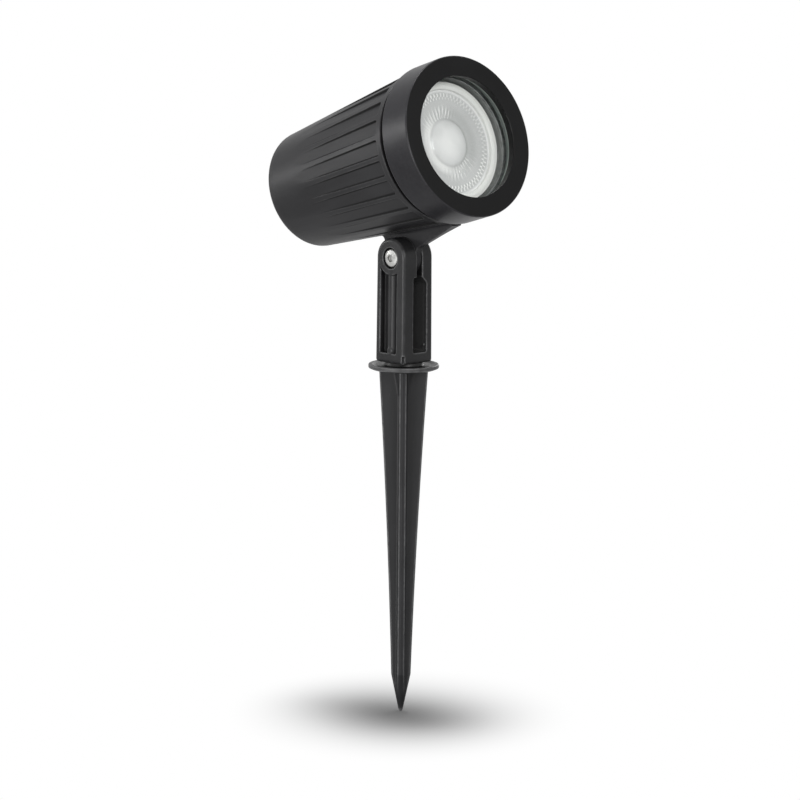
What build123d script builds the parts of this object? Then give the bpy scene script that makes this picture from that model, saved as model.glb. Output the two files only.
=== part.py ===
from build123d import *

import os
from math import atan2, cos, degrees, hypot, pi, radians, sin

# Garden spike spotlight: a tapered, fluted lamp head that tilts in a forked stem on a ground spike.
#
# Millimetres. +Z is up, the head faces -Y, and the tilt pivot runs along X. The origin is the centre
# of the flange's underside, which sits on the soil. Sizes inside the head are radii about its axis
# and depths behind the plane of the bezel's front edge. The spike and the stem use plain heights.

os.makedirs("parts", exist_ok=True)

# ---- clearances ----
running_gap = 0.05       # a pin or stud that turns in its hole
thread_gap = 0.1         # bezel thread, drawn as plain cylinders
screw_gap = 0.03         # a screw in the hole that it is fastened in
loose_gap = 0.3          # pieces that lie beside each other without a fit
slot_gap = 0.1           # each side of the lug between the ears

# ---- ground spike ----
flange_radius = 14.4
flange_thickness = 2.3
flange_rim = 1.0
neck_radius = 7.6
neck_height = 0.9
spike_length = 142.0
spike_top_width = 20.0
spike_low_width = 8.0
spike_hollow = 0.55      # how far the blades' edges bow in from a straight taper
point_length = 15.5
point_radius = 0.9
blade_thickness = 2.9
blade_turn = 45.0        # the blades stand at 45 degrees to the stem's faces
blade_root = 1.0
boss_top_radius = 4.0
boss_low_radius = 2.4
boss_length = 10.5

# ---- stud between the spike and the stem ----
stud_radius = 2.5
stud_in_spike = 9.0
stud_in_stem = 4.0
stud_end_gap = 0.3

# ---- stem ----
pivot_height = 46.1
stem_top_width = 16.3
stem_draft = 0.25        # degrees each side, wider downwards
stem_corner = 1.6
stem_foot_chamfer = 1.4
ear_edge = 0.7
slot_centre = 0.7        # the slot and the head stand this far to the nut's side of the stem's middle
slot_depth = 9.9         # below the pivot
pocket_near_wall = 5.5   # from the screw face to the front pocket
pocket_far_wall = 3.4
pocket_top = 7.8         # below the pivot
pocket_floor = 7.6       # above the soil
pocket_back_wall = 3.0
recess_depth = 2.6
recess_far = 5.5         # reach of the side recess behind the pivot
recess_near = 3.9        # reach in front of the pivot
recess_corner = 0.6
rib_half_width = 2.6
screw_land = 6.9         # radius of the plain face around the pivot screw

# ---- tilt pivot ----
pivot_screw_radius = 2.0
pivot_head_radius = 3.75
pivot_head_height = 2.2
pivot_head_sink = 0.25
pivot_key = 2.5          # across flats of the socket
pivot_key_depth = 1.3
counterbore_radius = 4.3
washer_radius = 3.5
washer_thickness = 0.8
washer_split = 0.5
nut_flats = 7.0
nut_height = 3.2
nut_sink = 0.3
nut_pocket_gap = 0.1

# ---- head as a whole ----
head_tilt = 18.0         # degrees above level at rest
axis_rise = 38.6         # from the pivot up to the head's axis
pivot_depth = 49.9       # of the pivot behind the front plane
head_length = 97.5

# ---- bezel ----
bezel_radius = 33.3
bezel_rear_radius = 32.9
bezel_length = 15.2
bezel_corner = 1.0
bezel_heel = 0.4
opening_radius = 24.7
opening_flare = 0.5
face_dish = 0.8
lip_thickness = 3.0
glass_bore = 27.7

# ---- glass and what holds it ----
gasket_thickness = 0.8
gasket_inner = 25.5
glass_radius = 27.4
glass_thickness = 3.0
retainer_thickness = 1.2
retainer_inner = 25.8
retainer_split = 2.0

# ---- lamp housing ----
bezel_gap = 0.8          # the dark line between bezel and housing
neck_front = 9.5
thread_radius = 30.3
neck_bore = 27.0
body_front_radius = 31.8
body_rear_radius = 24.0
body_corner = 3.0
body_shoulder = 0.4
wall = 2.6
rear_wall = 3.0
rib_count = 23
rib_width = 2.2
flute_start = 20.5
flute_depth = 0.9
flute_runout = 78.0      # depth at which the flute floors meet the cone
flute_corner = 1.2
lug_thickness = 3.0
lug_radius = 7.6
lug_rear = 9.5           # reach of the lug's web behind the pivot
lug_root = 1.4           # how far the web is let into the wall
post_radius = 3.0
post_spacing = 29.0
earth_boss_radius = 4.0
earth_boss_height = 5.0
earth_boss_rise = 13.5

# ---- seal between housing and bezel ----
seal_radius = 0.85
seal_depth = 13.4
seal_groove_width = 2.1

# ---- lamp ----
lamp_face = 11.0         # depth of the lamp's front rim
lamp_radius = 25.0
lamp_window = 22.4
trim_bevel = 0.7
trim_front = 1.4
trim_length = 4.2
trim_wall = 1.2
lens_thickness = 2.4
collimator_radius = 9.0
collimator_tip = 5.0
collimator_length = 6.2
chip_size = 5.0
chip_height = 0.8
board_radius = 21.1
board_thickness = 1.6
shell_waist_depth = 31.0  # behind the lamp's face
shell_waist_radius = 16.5
shell_end_depth = 39.0
shell_end_radius = 15.2
shell_wall = 1.2
lamp_length = 46.0
base_radius = 12.5
base_spigot = 2.0
driver_width = 20.0
driver_length = 22.0
pin_spacing = 10.0
pin_radius = 1.6
pin_length = 7.2
pin_head_radius = 2.5
pin_head_height = 2.7
lamp_twist = 25.0        # degrees from locked to free

# ---- lampholder and bracket ----
holder_width = 20.0
holder_height = 28.0
holder_depth = 14.0
holder_corner = 4.0
holder_gap = 0.3
socket_lip = 3.6
socket_depth = 7.5
tab_width = 3.0
tab_thickness = 1.0
tab_reach = 1.5          # past the bracket's back
holder_screw_spacing = 21.0
small_screw_radius = 1.45
small_head_radius = 2.75
small_head_height = 2.0
small_head_sink = 3.0
bracket_width = 35.0
bracket_height = 28.0
bracket_thickness = 1.2
bracket_corner = 4.0
window_width = 14.0
window_height = 9.0
bracket_screw_length = 7.7

# ---- terminal block, leads and earth ----
block_width = 17.0
block_height = 9.0
block_depth = 10.0
block_drop = 5.0         # of the block's top below the axis
entry_depth = 5.0        # of the wire entries behind the bracket
clamp_screw_radius = 1.4
lead_radius = 1.0
lead_bend = 2.5
lead_straight = 3.0      # run of the earth lead beside each of its ends
lead_in_block = 4.0
earth_screw_radius = 2.0
earth_head_radius = 3.5
earth_head_height = 2.4
earth_screw_length = 5.5
tag_thickness = 0.8
tag_width = 4.0
tag_reach = 7.0

# ---- cable gland ----
gland_thread_radius = 5.95
gland_bore = 4.2
gland_flats = 15.0
gland_hex_height = 3.0
gland_inner_length = 6.0
gland_outer_length = 6.0
gland_gasket_thickness = 1.0
gland_gasket_radius = 7.4
locknut_height = 3.0
cable_radius = 3.5
gland_seal_radius = 4.9
gland_seal_length = 4.5
gland_nut_radius = 7.6
gland_nut_height = 9.3
gland_nut_dome = 2.4
gland_nut_start = 0.3

# ---- worked out from the sizes above ----
shoulder_depth = bezel_length + bezel_gap
glass_seat = face_dish + lip_thickness
glass_front = glass_seat + gasket_thickness
glass_back = glass_front + glass_thickness
base_end = lamp_face + lamp_length
holder_front = base_end + holder_gap
bracket_front = holder_front + holder_depth
bracket_back = bracket_front + bracket_thickness
cavity_end = head_length - rear_wall
stem_foot = flange_thickness + neck_height
half_stem = stem_top_width / 2
tilt = radians(head_tilt)

forward = Vector(0, -cos(tilt), sin(tilt))
upward = Vector(0, sin(tilt), cos(tilt))
pivot = Vector(slot_centre, 0, pivot_height)
front_centre = pivot + upward * axis_rise + forward * pivot_depth
head = Plane(origin=front_centre, x_dir=(1, 0, 0), z_dir=forward).location


def save(name, shape):
    """Write one sub-part."""
    export_step(shape, f"parts/{name}.step")


def turned(*corners):
    """Solid turned about the head's axis from (radius, depth) corners."""
    outline = Polyline(*[(r, 0, -d) for r, d in corners], close=True)
    return revolve(make_face(outline), Axis.Z)


def ring(inner, outer, start, end):
    """Plain ring about the head's axis between two depths."""
    return turned((inner, start), (outer, start), (outer, end), (inner, end))


def disc(radius, start, end, x=0.0, y=0.0):
    """Cylinder along the head's axis between two depths, at a place across it."""
    return Pos(x, y, -(start + end) / 2) * Cylinder(radius, end - start)


def block(width, height, start, end, x=0.0, y=0.0):
    """Box along the head's axis between two depths, at a place across it."""
    return Pos(x, y, -(start + end) / 2) * Box(width, height, end - start)


def hexagon(flats, start, end):
    """Hexagonal prism on the head's axis between two depths."""
    face = RegularPolygon(flats / 2, 6, major_radius=False)
    return Pos(0, 0, -end) * extrude(face, end - start)


def across(radius, start, end):
    """Cylinder on the tilt pivot's line between two X places."""
    middle = Pos((start + end) / 2, 0, pivot_height)
    return middle * Rot(0, 90, 0) * Cylinder(radius, end - start)


def body_radius(depth):
    """Outer radius of the housing's cone at a depth."""
    share = (depth - shoulder_depth) / (head_length - shoulder_depth)
    return body_front_radius + (body_rear_radius - body_front_radius) * share


# ---------------------------------------------------------------- spike and stem


def make_spike():
    """Cross of two blades cut to a tapering round outline, under a flange, neck and boss."""
    half = spike_top_width / 2
    arm = Box(2 * half, blade_thickness, spike_length)
    cross = arm + Rot(0, 0, 90) * arm
    inner = blade_thickness / 2 + blade_root
    core = Box(2 * inner, 2 * inner, spike_length)
    for sx in (-1, 1):
        for sy in (-1, 1):
            core -= Pos(sx * inner, sy * inner, 0) * Cylinder(blade_root, spike_length)
    blades = Pos(0, 0, -spike_length / 2) * Rot(0, 0, blade_turn) * (cross + core)
    low_half = spike_low_width / 2
    low = -(spike_length - point_length)
    bow = (half + low_half) / 2 - spike_hollow
    edge = ThreePointArc((half, 0, 0), (bow, 0, low / 2), (low_half, 0, low))
    rest = Polyline(
        (low_half, 0, low),
        (point_radius, 0, -spike_length + point_radius / 2),
        (0, 0, -spike_length),
        (0, 0, 0),
        (half, 0, 0),
    )
    shank = blades & revolve(make_face([edge, rest]), Axis.Z)
    boss = Pos(0, 0, -boss_length / 2) * Cone(boss_low_radius, boss_top_radius, boss_length)
    plate = Pos(0, 0, flange_thickness / 2) * Cylinder(flange_radius, flange_thickness)
    plate = fillet(plate.edges().filter_by(GeomType.CIRCLE), flange_rim)
    neck = Pos(0, 0, flange_thickness + neck_height / 2) * Cylinder(neck_radius, neck_height)
    hole_length = stud_in_spike + stud_end_gap
    hole = Pos(0, 0, stem_foot - hole_length / 2) * Cylinder(stud_radius + running_gap, hole_length)
    return shank + boss + plate + neck - hole


def make_stud():
    length = stud_in_spike + stud_in_stem
    stud = Pos(0, 0, stem_foot - stud_in_spike + length / 2) * Cylinder(stud_radius, length)
    return chamfer(stud.edges().filter_by(GeomType.CIRCLE), 0.4)


def stem_outline():
    """The stem's side view: straight sides under a round top with bevelled edges."""
    reach = stem_top_width
    drum = Cylinder(half_stem, stem_top_width)
    drum = chamfer(drum.edges().filter_by(GeomType.CIRCLE), ear_edge)
    below = pivot_height - stem_foot
    sides = Pos(0, 0, stem_foot + below / 2) * Box(2 * reach, 2 * reach, below)
    return Pos(0, 0, pivot_height) * Rot(0, 90, 0) * drum + sides


def make_stem():
    """Square tapering post with a fork at the top, a pocket in front and a recess on the screw side."""
    height = pivot_height - stem_foot
    spread = 2 * height * sin(radians(stem_draft))
    foot = RectangleRounded(stem_top_width + spread, stem_top_width + spread, stem_corner)
    post = Pos(0, 0, stem_foot) * extrude(foot, height + half_stem, taper=stem_draft)
    post = chamfer(post.edges().group_by(Axis.Z)[0], stem_foot_chamfer)
    post = post & stem_outline()

    slot_width = lug_thickness + 2 * slot_gap
    slot_height = slot_depth + 2 * half_stem
    post -= Pos(slot_centre, 0, pivot_height - slot_depth + slot_height / 2) * Box(
        slot_width, 3 * stem_top_width, slot_height
    )
    post -= front_pocket()
    post -= side_recess()

    seat = counterbore_seat()
    post -= across(counterbore_radius, -stem_top_width, seat)
    post -= across(pivot_screw_radius + running_gap, seat, stem_top_width)
    post -= nut_pocket()
    stud_hole = pocket_floor - stem_foot
    post -= Pos(0, 0, stem_foot + stud_hole / 2) * Cylinder(stud_radius + screw_gap, stud_hole)
    return post


def front_pocket():
    """Cored pocket that opens forward under the fork's slot, with a chamfered far corner on top."""
    near = -half_stem + pocket_near_wall
    far = half_stem - pocket_far_wall
    top = pivot_height - pocket_top
    slope = far - (slot_centre + lug_thickness / 2 + slot_gap)
    face = Polyline(
        (near, 0, pocket_floor),
        (far, 0, pocket_floor),
        (far, 0, top - slope),
        (far - slope, 0, top),
        (near, 0, top),
        close=True,
    )
    depth = 2 * half_stem - pocket_back_wall
    front = -half_stem - 1.0
    return Pos(0, front, 0) * extrude(make_face(face), depth + 1.0, dir=(0, 1, 0))


def side_recess():
    """Recess beside the pivot's screw face, with a flush rib left standing down its middle."""
    outer = -half_stem - 1.0
    floor = -half_stem + recess_depth
    middle = (recess_far - recess_near) / 2
    width = recess_far + recess_near
    height = pivot_height - pocket_floor
    depth = floor - outer
    cut = Pos((outer + floor) / 2, middle, pocket_floor + height / 2) * Box(depth, width, height)
    cut = fillet(cut.edges().filter_by(Axis.X), recess_corner)
    cut -= Pos((outer + floor) / 2, 0, pocket_floor + height / 2) * Box(
        depth, 2 * rib_half_width, height
    )
    return cut - across(screw_land, outer, floor)


def counterbore_seat():
    """X place of the counterbore's floor, from the stack of head and washer."""
    return -half_stem + pivot_head_sink + pivot_head_height + washer_thickness


def nut_seat():
    """X place of the nut pocket's floor."""
    return half_stem - nut_sink - nut_height


def hexagon_across(flats, start, end):
    """Hexagonal prism on the tilt pivot's line."""
    face = Plane.YZ * RegularPolygon(flats / 2, 6, major_radius=False)
    return Pos(start, 0, pivot_height) * extrude(face, end - start)


def nut_pocket():
    return hexagon_across(nut_flats + 2 * nut_pocket_gap, nut_seat(), 2 * half_stem)


def make_pivot_screw():
    """Button head with a hexagon socket, on a shank that reaches the nut's outer face."""
    under = counterbore_seat() - washer_thickness
    face = under - pivot_head_height
    crown = pivot_height + pivot_head_radius * 0.55
    rim = pivot_height + pivot_head_radius
    shoulder = under - 0.5
    dome = Polyline(
        (face, 0, crown),
        (face, 0, pivot_height),
        (under, 0, pivot_height),
        (under, 0, rim),
        (shoulder, 0, rim),
    )
    bulge = ((shoulder + face) / 2 - 0.35, 0, (crown + rim) / 2 + 0.35)
    curve = ThreePointArc((shoulder, 0, rim), bulge, (face, 0, crown))
    button = revolve(make_face([dome, curve]), Axis((0, 0, pivot_height), (1, 0, 0)))
    button -= hexagon_across(pivot_key, face - 1.0, face + pivot_key_depth)
    return button + across(pivot_screw_radius, under, half_stem - nut_sink)


def make_pivot_washer():
    seat = counterbore_seat()
    inner = pivot_screw_radius + running_gap
    body = across(washer_radius, seat - washer_thickness, seat)
    body -= across(inner, seat - washer_thickness, seat)
    gap = Pos(seat - washer_thickness / 2, 0, pivot_height + washer_radius / 2)
    return body - gap * Box(2 * washer_thickness, washer_split, washer_radius + 1.0)


def make_pivot_nut():
    seat = nut_seat()
    nut = hexagon_across(nut_flats, seat, seat + nut_height)
    return nut - across(pivot_screw_radius + screw_gap, seat, seat + nut_height)


# ---------------------------------------------------------------- bezel and glass


def make_bezel():
    """Screwed ring: dished face, flared opening, glass bore, then the bore over the housing's neck."""
    over_neck = thread_radius + thread_gap
    body = turned(
        (opening_radius, face_dish),
        (bezel_radius, 0.0),
        (bezel_rear_radius, bezel_length),
        (over_neck, bezel_length),
        (over_neck, neck_front),
        (glass_bore, neck_front),
        (glass_bore, glass_seat),
        (opening_radius + opening_flare, glass_seat),
    )
    rims = body.edges().filter_by(GeomType.CIRCLE)
    front_rim = rims.filter_by(lambda e: abs(e.radius - bezel_radius) < 0.01)
    body = fillet(front_rim, bezel_corner)
    rims = body.edges().filter_by(GeomType.CIRCLE)
    rear_rim = rims.filter_by(lambda e: abs(e.radius - bezel_rear_radius) < 0.01)
    return chamfer(rear_rim, bezel_heel)


def make_retainer():
    """Split ring behind the glass, open at the top."""
    end = glass_back + retainer_thickness
    body = ring(retainer_inner, glass_radius, glass_back, end)
    gap = Pos(0, glass_radius - (glass_radius - retainer_inner) / 2, -(glass_back + end) / 2)
    return body - gap * Box(retainer_split, 4 * retainer_split, 4 * retainer_thickness)


# ---------------------------------------------------------------- housing


def flute(angle):
    """Cutter for one flute: a flat floor that rises to meet the cone, between upright rib sides."""
    start_radius = body_radius(flute_start) - flute_depth
    drop = start_radius - body_radius(flute_runout)
    run = flute_runout - flute_start
    slope = atan2(drop, run)
    length = hypot(run, drop) + 4.0
    turn = radians(angle)
    outward = Vector(cos(turn), sin(turn), 0)
    along = outward * -sin(slope) - Vector(0, 0, cos(slope))
    normal = outward * cos(slope) - Vector(0, 0, sin(slope))
    pitch = 2 * pi / rib_count
    wide = pitch * body_radius(flute_start) - rib_width
    narrow = pitch * body_radius(flute_start + length) - rib_width
    outline = Polyline(
        (0, -wide / 2), (length, -narrow / 2), (length, narrow / 2), (0, wide / 2), close=True
    )
    face = make_face(outline)
    face = fillet(face.vertices().group_by(Axis.X)[0], flute_corner)
    origin = outward * start_radius + Vector(0, 0, -flute_start)
    place = Plane(origin=origin, x_dir=along, z_dir=normal)
    return place.location * extrude(face, 3.0)


def lug_point(ahead, above):
    """Point of the lug's side view, measured from the pivot along and across the head's axis."""
    return (0, above - axis_rise, ahead - pivot_depth)


def make_lug():
    """Round-ended lug on a web that runs forward to the bezel and is let into the wall."""
    nose = pivot_depth - shoulder_depth - 0.6
    nose_rise = axis_rise - body_radius(pivot_depth - nose)
    tail_rise = axis_rise - body_radius(pivot_depth + lug_rear)
    outline = Polyline(
        lug_point(0, 0),
        lug_point(nose, nose_rise),
        lug_point(nose, nose_rise + lug_root),
        lug_point(-lug_rear, tail_rise + lug_root),
        lug_point(-lug_radius, 0),
        close=True,
    )
    web = Pos(-lug_thickness / 2, 0, 0) * extrude(make_face(outline), lug_thickness, dir=(1, 0, 0))
    place = Pos(*lug_point(0, 0)) * Rot(0, 90, 0)
    eye = place * Cylinder(lug_radius, lug_thickness)
    hole = place * Cylinder(pivot_screw_radius + running_gap, 2 * lug_thickness)
    return web + eye - hole


def make_housing():
    """Hollow cone with flutes outside; neck, O-ring groove, posts, earth boss and gland hole."""
    meet = shoulder_depth + (body_front_radius - wall - neck_bore) * (
        head_length - shoulder_depth
    ) / (body_front_radius - body_rear_radius)
    outer = turned(
        (0, neck_front),
        (thread_radius, neck_front),
        (thread_radius, shoulder_depth),
        (body_front_radius, shoulder_depth),
        (body_rear_radius, head_length),
        (0, head_length),
    )
    rims = outer.edges().filter_by(GeomType.CIRCLE)
    outer = fillet(rims.filter_by(lambda e: abs(e.radius - body_rear_radius) < 0.01), body_corner)
    rims = outer.edges().filter_by(GeomType.CIRCLE)
    front_rim = rims.filter_by(lambda e: abs(e.radius - body_front_radius) < 0.01)
    outer = chamfer(front_rim, body_shoulder)
    pitch = 360 / rib_count
    flutes = [flute(90 + pitch * (k + 0.5)) for k in range(rib_count)]
    outer = outer - flutes + make_lug()
    cavity = turned(
        (0, neck_front),
        (neck_bore, neck_front),
        (neck_bore, meet),
        (body_radius(cavity_end) - wall, cavity_end),
        (0, cavity_end),
    )
    body = outer - cavity
    groove = thread_radius - 2 * seal_radius - running_gap
    half_groove = seal_groove_width / 2
    body -= ring(groove, thread_radius + 1.0, seal_depth - half_groove, seal_depth + half_groove)
    for side in (-1, 1):
        post_x = side * post_spacing / 2
        body += disc(post_radius, bracket_back, cavity_end + 0.5, post_x)
        hole_end = bracket_back + bracket_screw_length + loose_gap
        body -= disc(small_screw_radius + screw_gap, bracket_back, hole_end, post_x)
    boss_front = cavity_end - earth_boss_height
    body += disc(earth_boss_radius, boss_front, cavity_end + 0.5, 0, earth_boss_rise)
    hole_end = boss_front + earth_screw_length + loose_gap
    body -= disc(earth_screw_radius + screw_gap, boss_front, hole_end, 0, earth_boss_rise)
    return body - disc(gland_thread_radius + screw_gap, cavity_end - 1.0, head_length + 1.0)


def make_bezel_seal():
    middle = thread_radius - seal_radius
    return Pos(0, 0, -seal_depth) * Torus(middle, seal_radius)


# ---------------------------------------------------------------- lamp


def make_lamp_trim():
    end = lamp_face + trim_length
    inner = lamp_radius - trim_wall
    return turned(
        (lamp_window, lamp_face),
        (lamp_radius - trim_bevel, lamp_face),
        (lamp_radius, lamp_face + trim_bevel),
        (lamp_radius, end),
        (inner, end),
        (inner, lamp_face + trim_front),
        (lamp_window, lamp_face + trim_front),
    )


def make_lamp_lens():
    """Flat lens with a collimating cone behind its middle."""
    front = lamp_face + trim_front
    back = front + lens_thickness
    rim = lamp_radius - trim_wall - running_gap
    return turned(
        (0, front),
        (rim, front),
        (rim, back),
        (collimator_radius, back),
        (collimator_tip, back + collimator_length),
        (0, back + collimator_length),
    )


def board_front():
    return lamp_face + trim_front + lens_thickness + collimator_length + 0.2 + chip_height


def make_lamp_shell():
    """Tapered shell from the trim to the base."""
    start = lamp_face + trim_length
    waist = lamp_face + shell_waist_depth
    end = lamp_face + shell_end_depth
    return turned(
        (lamp_radius, start),
        (shell_waist_radius, waist),
        (shell_end_radius, end),
        (shell_end_radius - shell_wall, end),
        (shell_waist_radius - shell_wall, waist),
        (lamp_radius - shell_wall, start),
    )


def make_lamp_base():
    """Base with a spigot in the shell and a lower drum that faces the lampholder."""
    start = lamp_face + shell_end_depth
    spigot = shell_end_radius - shell_wall - running_gap
    drum = start + 2.0
    return turned(
        (0, start - base_spigot),
        (spigot, start - base_spigot),
        (spigot, start),
        (shell_end_radius, start),
        (shell_end_radius, drum),
        (base_radius, drum + 2.0),
        (base_radius, base_end),
        (0, base_end),
    )


def make_driver_board():
    end = lamp_face + shell_end_depth - base_spigot
    return block(driver_width, board_thickness, end - driver_length, end)


def make_pins():
    """Two headed contact pins."""
    pins = []
    for side in (-1, 1):
        x = side * pin_spacing / 2
        head_start = base_end + pin_length - pin_head_height
        shaft = disc(pin_radius, base_end, head_start, x)
        pins.append(shaft + disc(pin_head_radius, head_start, base_end + pin_length, x))
    return Compound(pins)


# ---------------------------------------------------------------- lampholder and wiring


def sweep_slot(half_width, start, end):
    """Curved slot that a pin of this half width sweeps from locked to free."""
    mid = pin_spacing / 2
    face = make_face(
        Polyline(
            (mid - half_width, 0, -start),
            (mid + half_width, 0, -start),
            (mid + half_width, 0, -end),
            (mid - half_width, 0, -end),
            close=True,
        )
    )
    slot = revolve(face, Axis.Z, revolution_arc=lamp_twist)
    locked = disc(half_width, start, end, mid)
    return slot + locked + Rot(0, 0, lamp_twist) * locked


def make_holder():
    """Ceramic block with two undercut curved slots, two tab holes and two screw holes."""
    back = holder_front + holder_depth
    body = block(holder_width, holder_height, holder_front, back)
    body = fillet(body.edges().filter_by(Axis.Z), holder_corner)
    lip_end = holder_front + socket_lip
    cavity = holder_front + socket_depth
    socket = sweep_slot(pin_radius + loose_gap, holder_front, lip_end)
    socket += sweep_slot(pin_head_radius + loose_gap, lip_end, cavity)
    entry = disc(pin_head_radius + loose_gap, holder_front, cavity, pin_spacing / 2)
    socket += Rot(0, 0, lamp_twist) * entry
    socket += block(
        tab_width + loose_gap, tab_thickness + loose_gap, cavity, back, pin_spacing / 2
    )
    for turn in (0, 180):
        body -= Rot(0, 0, turn) * socket
    for side in (-1, 1):
        y = side * holder_screw_spacing / 2
        body -= disc(small_screw_radius + loose_gap / 2, holder_front, back, 0, y)
        sink = holder_front + small_head_sink
        body -= disc(small_head_radius + loose_gap, holder_front, sink, 0, y)
    return body


def make_contacts():
    start = holder_front + socket_depth - 0.3
    end = bracket_back + tab_reach
    return Compound(
        [block(tab_width, tab_thickness, start, end, s * pin_spacing / 2) for s in (-1, 1)]
    )


def small_screw(seat, length, x, y):
    """Pan-head screw that seats at a depth and points backwards."""
    head_part = disc(small_head_radius, seat - small_head_height, seat, x, y)
    drive = Pos(x, y, -(seat - small_head_height)) * Box(3.4, 0.7, 1.6)
    cross = Pos(x, y, -(seat - small_head_height)) * Box(0.7, 3.4, 1.6)
    return head_part + disc(small_screw_radius, seat, seat + length, x, y) - drive - cross


def make_holder_screws():
    seat = holder_front + small_head_sink
    length = bracket_back - seat - 0.1
    y = holder_screw_spacing / 2
    return Compound([small_screw(seat, length, 0, -y), small_screw(seat, length, 0, y)])


def make_bracket():
    body = block(bracket_width, bracket_height, bracket_front, bracket_back)
    body = fillet(body.edges().filter_by(Axis.Z), bracket_corner)
    body -= block(window_width, window_height, bracket_front, bracket_back)
    for side in (-1, 1):
        hole = small_screw_radius + screw_gap
        y = side * holder_screw_spacing / 2
        body -= disc(hole, bracket_front, bracket_back, 0, y)
        body -= disc(hole, bracket_front, bracket_back, side * post_spacing / 2)
    return body


def make_bracket_screws():
    length = bracket_thickness + bracket_screw_length
    x = post_spacing / 2
    return Compound([small_screw(bracket_front, length, s * x, 0) for s in (-1, 1)])


def pole_places():
    """X places of the terminal block's three poles: neutral, earth, live."""
    return (-pin_spacing / 2, 0.0, pin_spacing / 2)


def make_terminal_block():
    """Insulated block behind the bracket, with a wire hole and a screw hole at each pole."""
    end = bracket_back + block_depth
    middle = -block_drop - block_height / 2
    body = block(block_width, block_height, bracket_back, end, 0, middle)
    entry = bracket_back + entry_depth
    hole_length = lead_in_block + 1.0
    for x in pole_places():
        hole = Pos(x, -block_drop - hole_length / 2, -entry) * Rot(90, 0, 0)
        body -= hole * Cylinder(lead_radius + screw_gap, hole_length)
        screw_y = -block_drop - lead_in_block + lead_radius
        body -= disc(clamp_screw_radius + screw_gap, entry, end, x, screw_y)
    return body


def make_terminal_screws():
    end = bracket_back + block_depth - 0.5
    start = bracket_back + entry_depth + lead_radius + screw_gap
    y = -block_drop - lead_in_block + lead_radius
    screws = []
    for x in pole_places():
        screw = disc(clamp_screw_radius, start, end, x, y)
        screws.append(screw - Pos(x, y, -end) * Box(2.2, 0.6, 1.4))
    return Compound(screws)


def wire(*points):
    """Round lead along straight runs joined by tangent arcs, given as (x, y, depth) points."""
    path = FilletPolyline(*[(x, y, -d) for x, y, d in points], radius=lead_bend)
    start = Plane(origin=path @ 0, z_dir=path % 0)
    return sweep(start * Circle(lead_radius), path=path)


def pole_lead(side):
    """Lead from a contact tab back and down into its pole of the terminal block."""
    x = side * pin_spacing / 2
    start = bracket_back + tab_reach
    entry = bracket_back + entry_depth
    return wire((x, 0, start), (x, 0, entry), (x, -block_drop - lead_in_block, entry))


def earth_boss_front():
    return cavity_end - earth_boss_height


def make_earth_tag():
    """Ring tag under the earth screw, with a tongue towards the axis."""
    start = earth_boss_front() - tag_thickness
    eye = disc(tag_width / 2 + earth_screw_radius - 0.2, start, earth_boss_front(), 0, earth_boss_rise)
    tongue_y = earth_boss_rise - tag_reach / 2
    tongue = block(tag_width, tag_reach, start, earth_boss_front(), 0, tongue_y)
    hole = disc(earth_screw_radius + screw_gap, start, earth_boss_front(), 0, earth_boss_rise)
    return eye + tongue - hole


def make_earth_screw():
    seat = earth_boss_front() - tag_thickness
    head_part = disc(earth_head_radius, seat - earth_head_height, seat, 0, earth_boss_rise)
    end = earth_boss_front() + earth_screw_length
    shank = disc(earth_screw_radius, seat, end, 0, earth_boss_rise)
    slot = Pos(0, earth_boss_rise, -(seat - earth_head_height)) * Box(4.4, 0.9, 2.0)
    cross = Pos(0, earth_boss_rise, -(seat - earth_head_height)) * Box(0.9, 4.4, 2.0)
    return head_part + shank - slot - cross


def make_earth_lead():
    """Lead from the tag's tongue inwards, then on a slant forwards into the block's middle pole."""
    depth = earth_boss_front() - tag_thickness / 2
    start = earth_boss_rise - tag_reach
    entry = bracket_back + entry_depth
    end = -block_drop - lead_in_block
    return wire(
        (0, start, depth),
        (0, start - lead_straight, depth),
        (0, lead_straight - block_drop, entry),
        (0, end, entry),
    )


# ---------------------------------------------------------------- cable gland


def gland_face():
    """Depth of the gasket's outer face, which the gland's hexagon sits on."""
    return head_length + gland_gasket_thickness


def make_gland_body():
    seat = gland_face()
    hex_end = seat + gland_hex_height
    end = hex_end + gland_outer_length
    body = hexagon(gland_flats, seat, hex_end)
    body += disc(gland_thread_radius, seat - gland_inner_length - gland_gasket_thickness, seat)
    body += disc(gland_thread_radius, hex_end, end)
    body -= disc(gland_bore, seat - gland_inner_length - gland_gasket_thickness, end)
    seal_start = end - gland_seal_length + 0.5
    return body - disc(gland_seal_radius + running_gap, seal_start, end)


def seal_start_depth():
    return gland_face() + gland_hex_height + gland_outer_length - gland_seal_length + 0.5


def make_gland_seal():
    start = seal_start_depth()
    return ring(cable_radius, gland_seal_radius, start, start + gland_seal_length)


def make_gland_nut():
    """Domed hexagonal cap with its exit hole a little wider than the cable."""
    start = gland_face() + gland_hex_height + gland_nut_start
    end = start + gland_nut_height
    inner = seal_start_depth() + gland_seal_length + 0.1
    dome = end - gland_nut_dome
    shape = turned(
        (0, start),
        (gland_nut_radius, start),
        (gland_nut_radius, dome),
        (gland_nut_radius - gland_nut_dome, end),
        (0, end),
    )
    body = shape & hexagon(gland_flats - 0.6, start, end)
    body -= disc(gland_thread_radius + running_gap, start, inner)
    return body - disc(gland_bore, start, end)


def make_locknut():
    body = hexagon(gland_flats, cavity_end - locknut_height, cavity_end)
    return body - disc(gland_thread_radius + screw_gap, cavity_end - locknut_height, cavity_end)


# ---------------------------------------------------------------- all pieces

standing = {
    "ground_spike": make_spike(),
    "stem_stud": make_stud(),
    "stem_fork": make_stem(),
    "pivot_screw": make_pivot_screw(),
    "pivot_washer": make_pivot_washer(),
    "pivot_nut": make_pivot_nut(),
}

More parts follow.
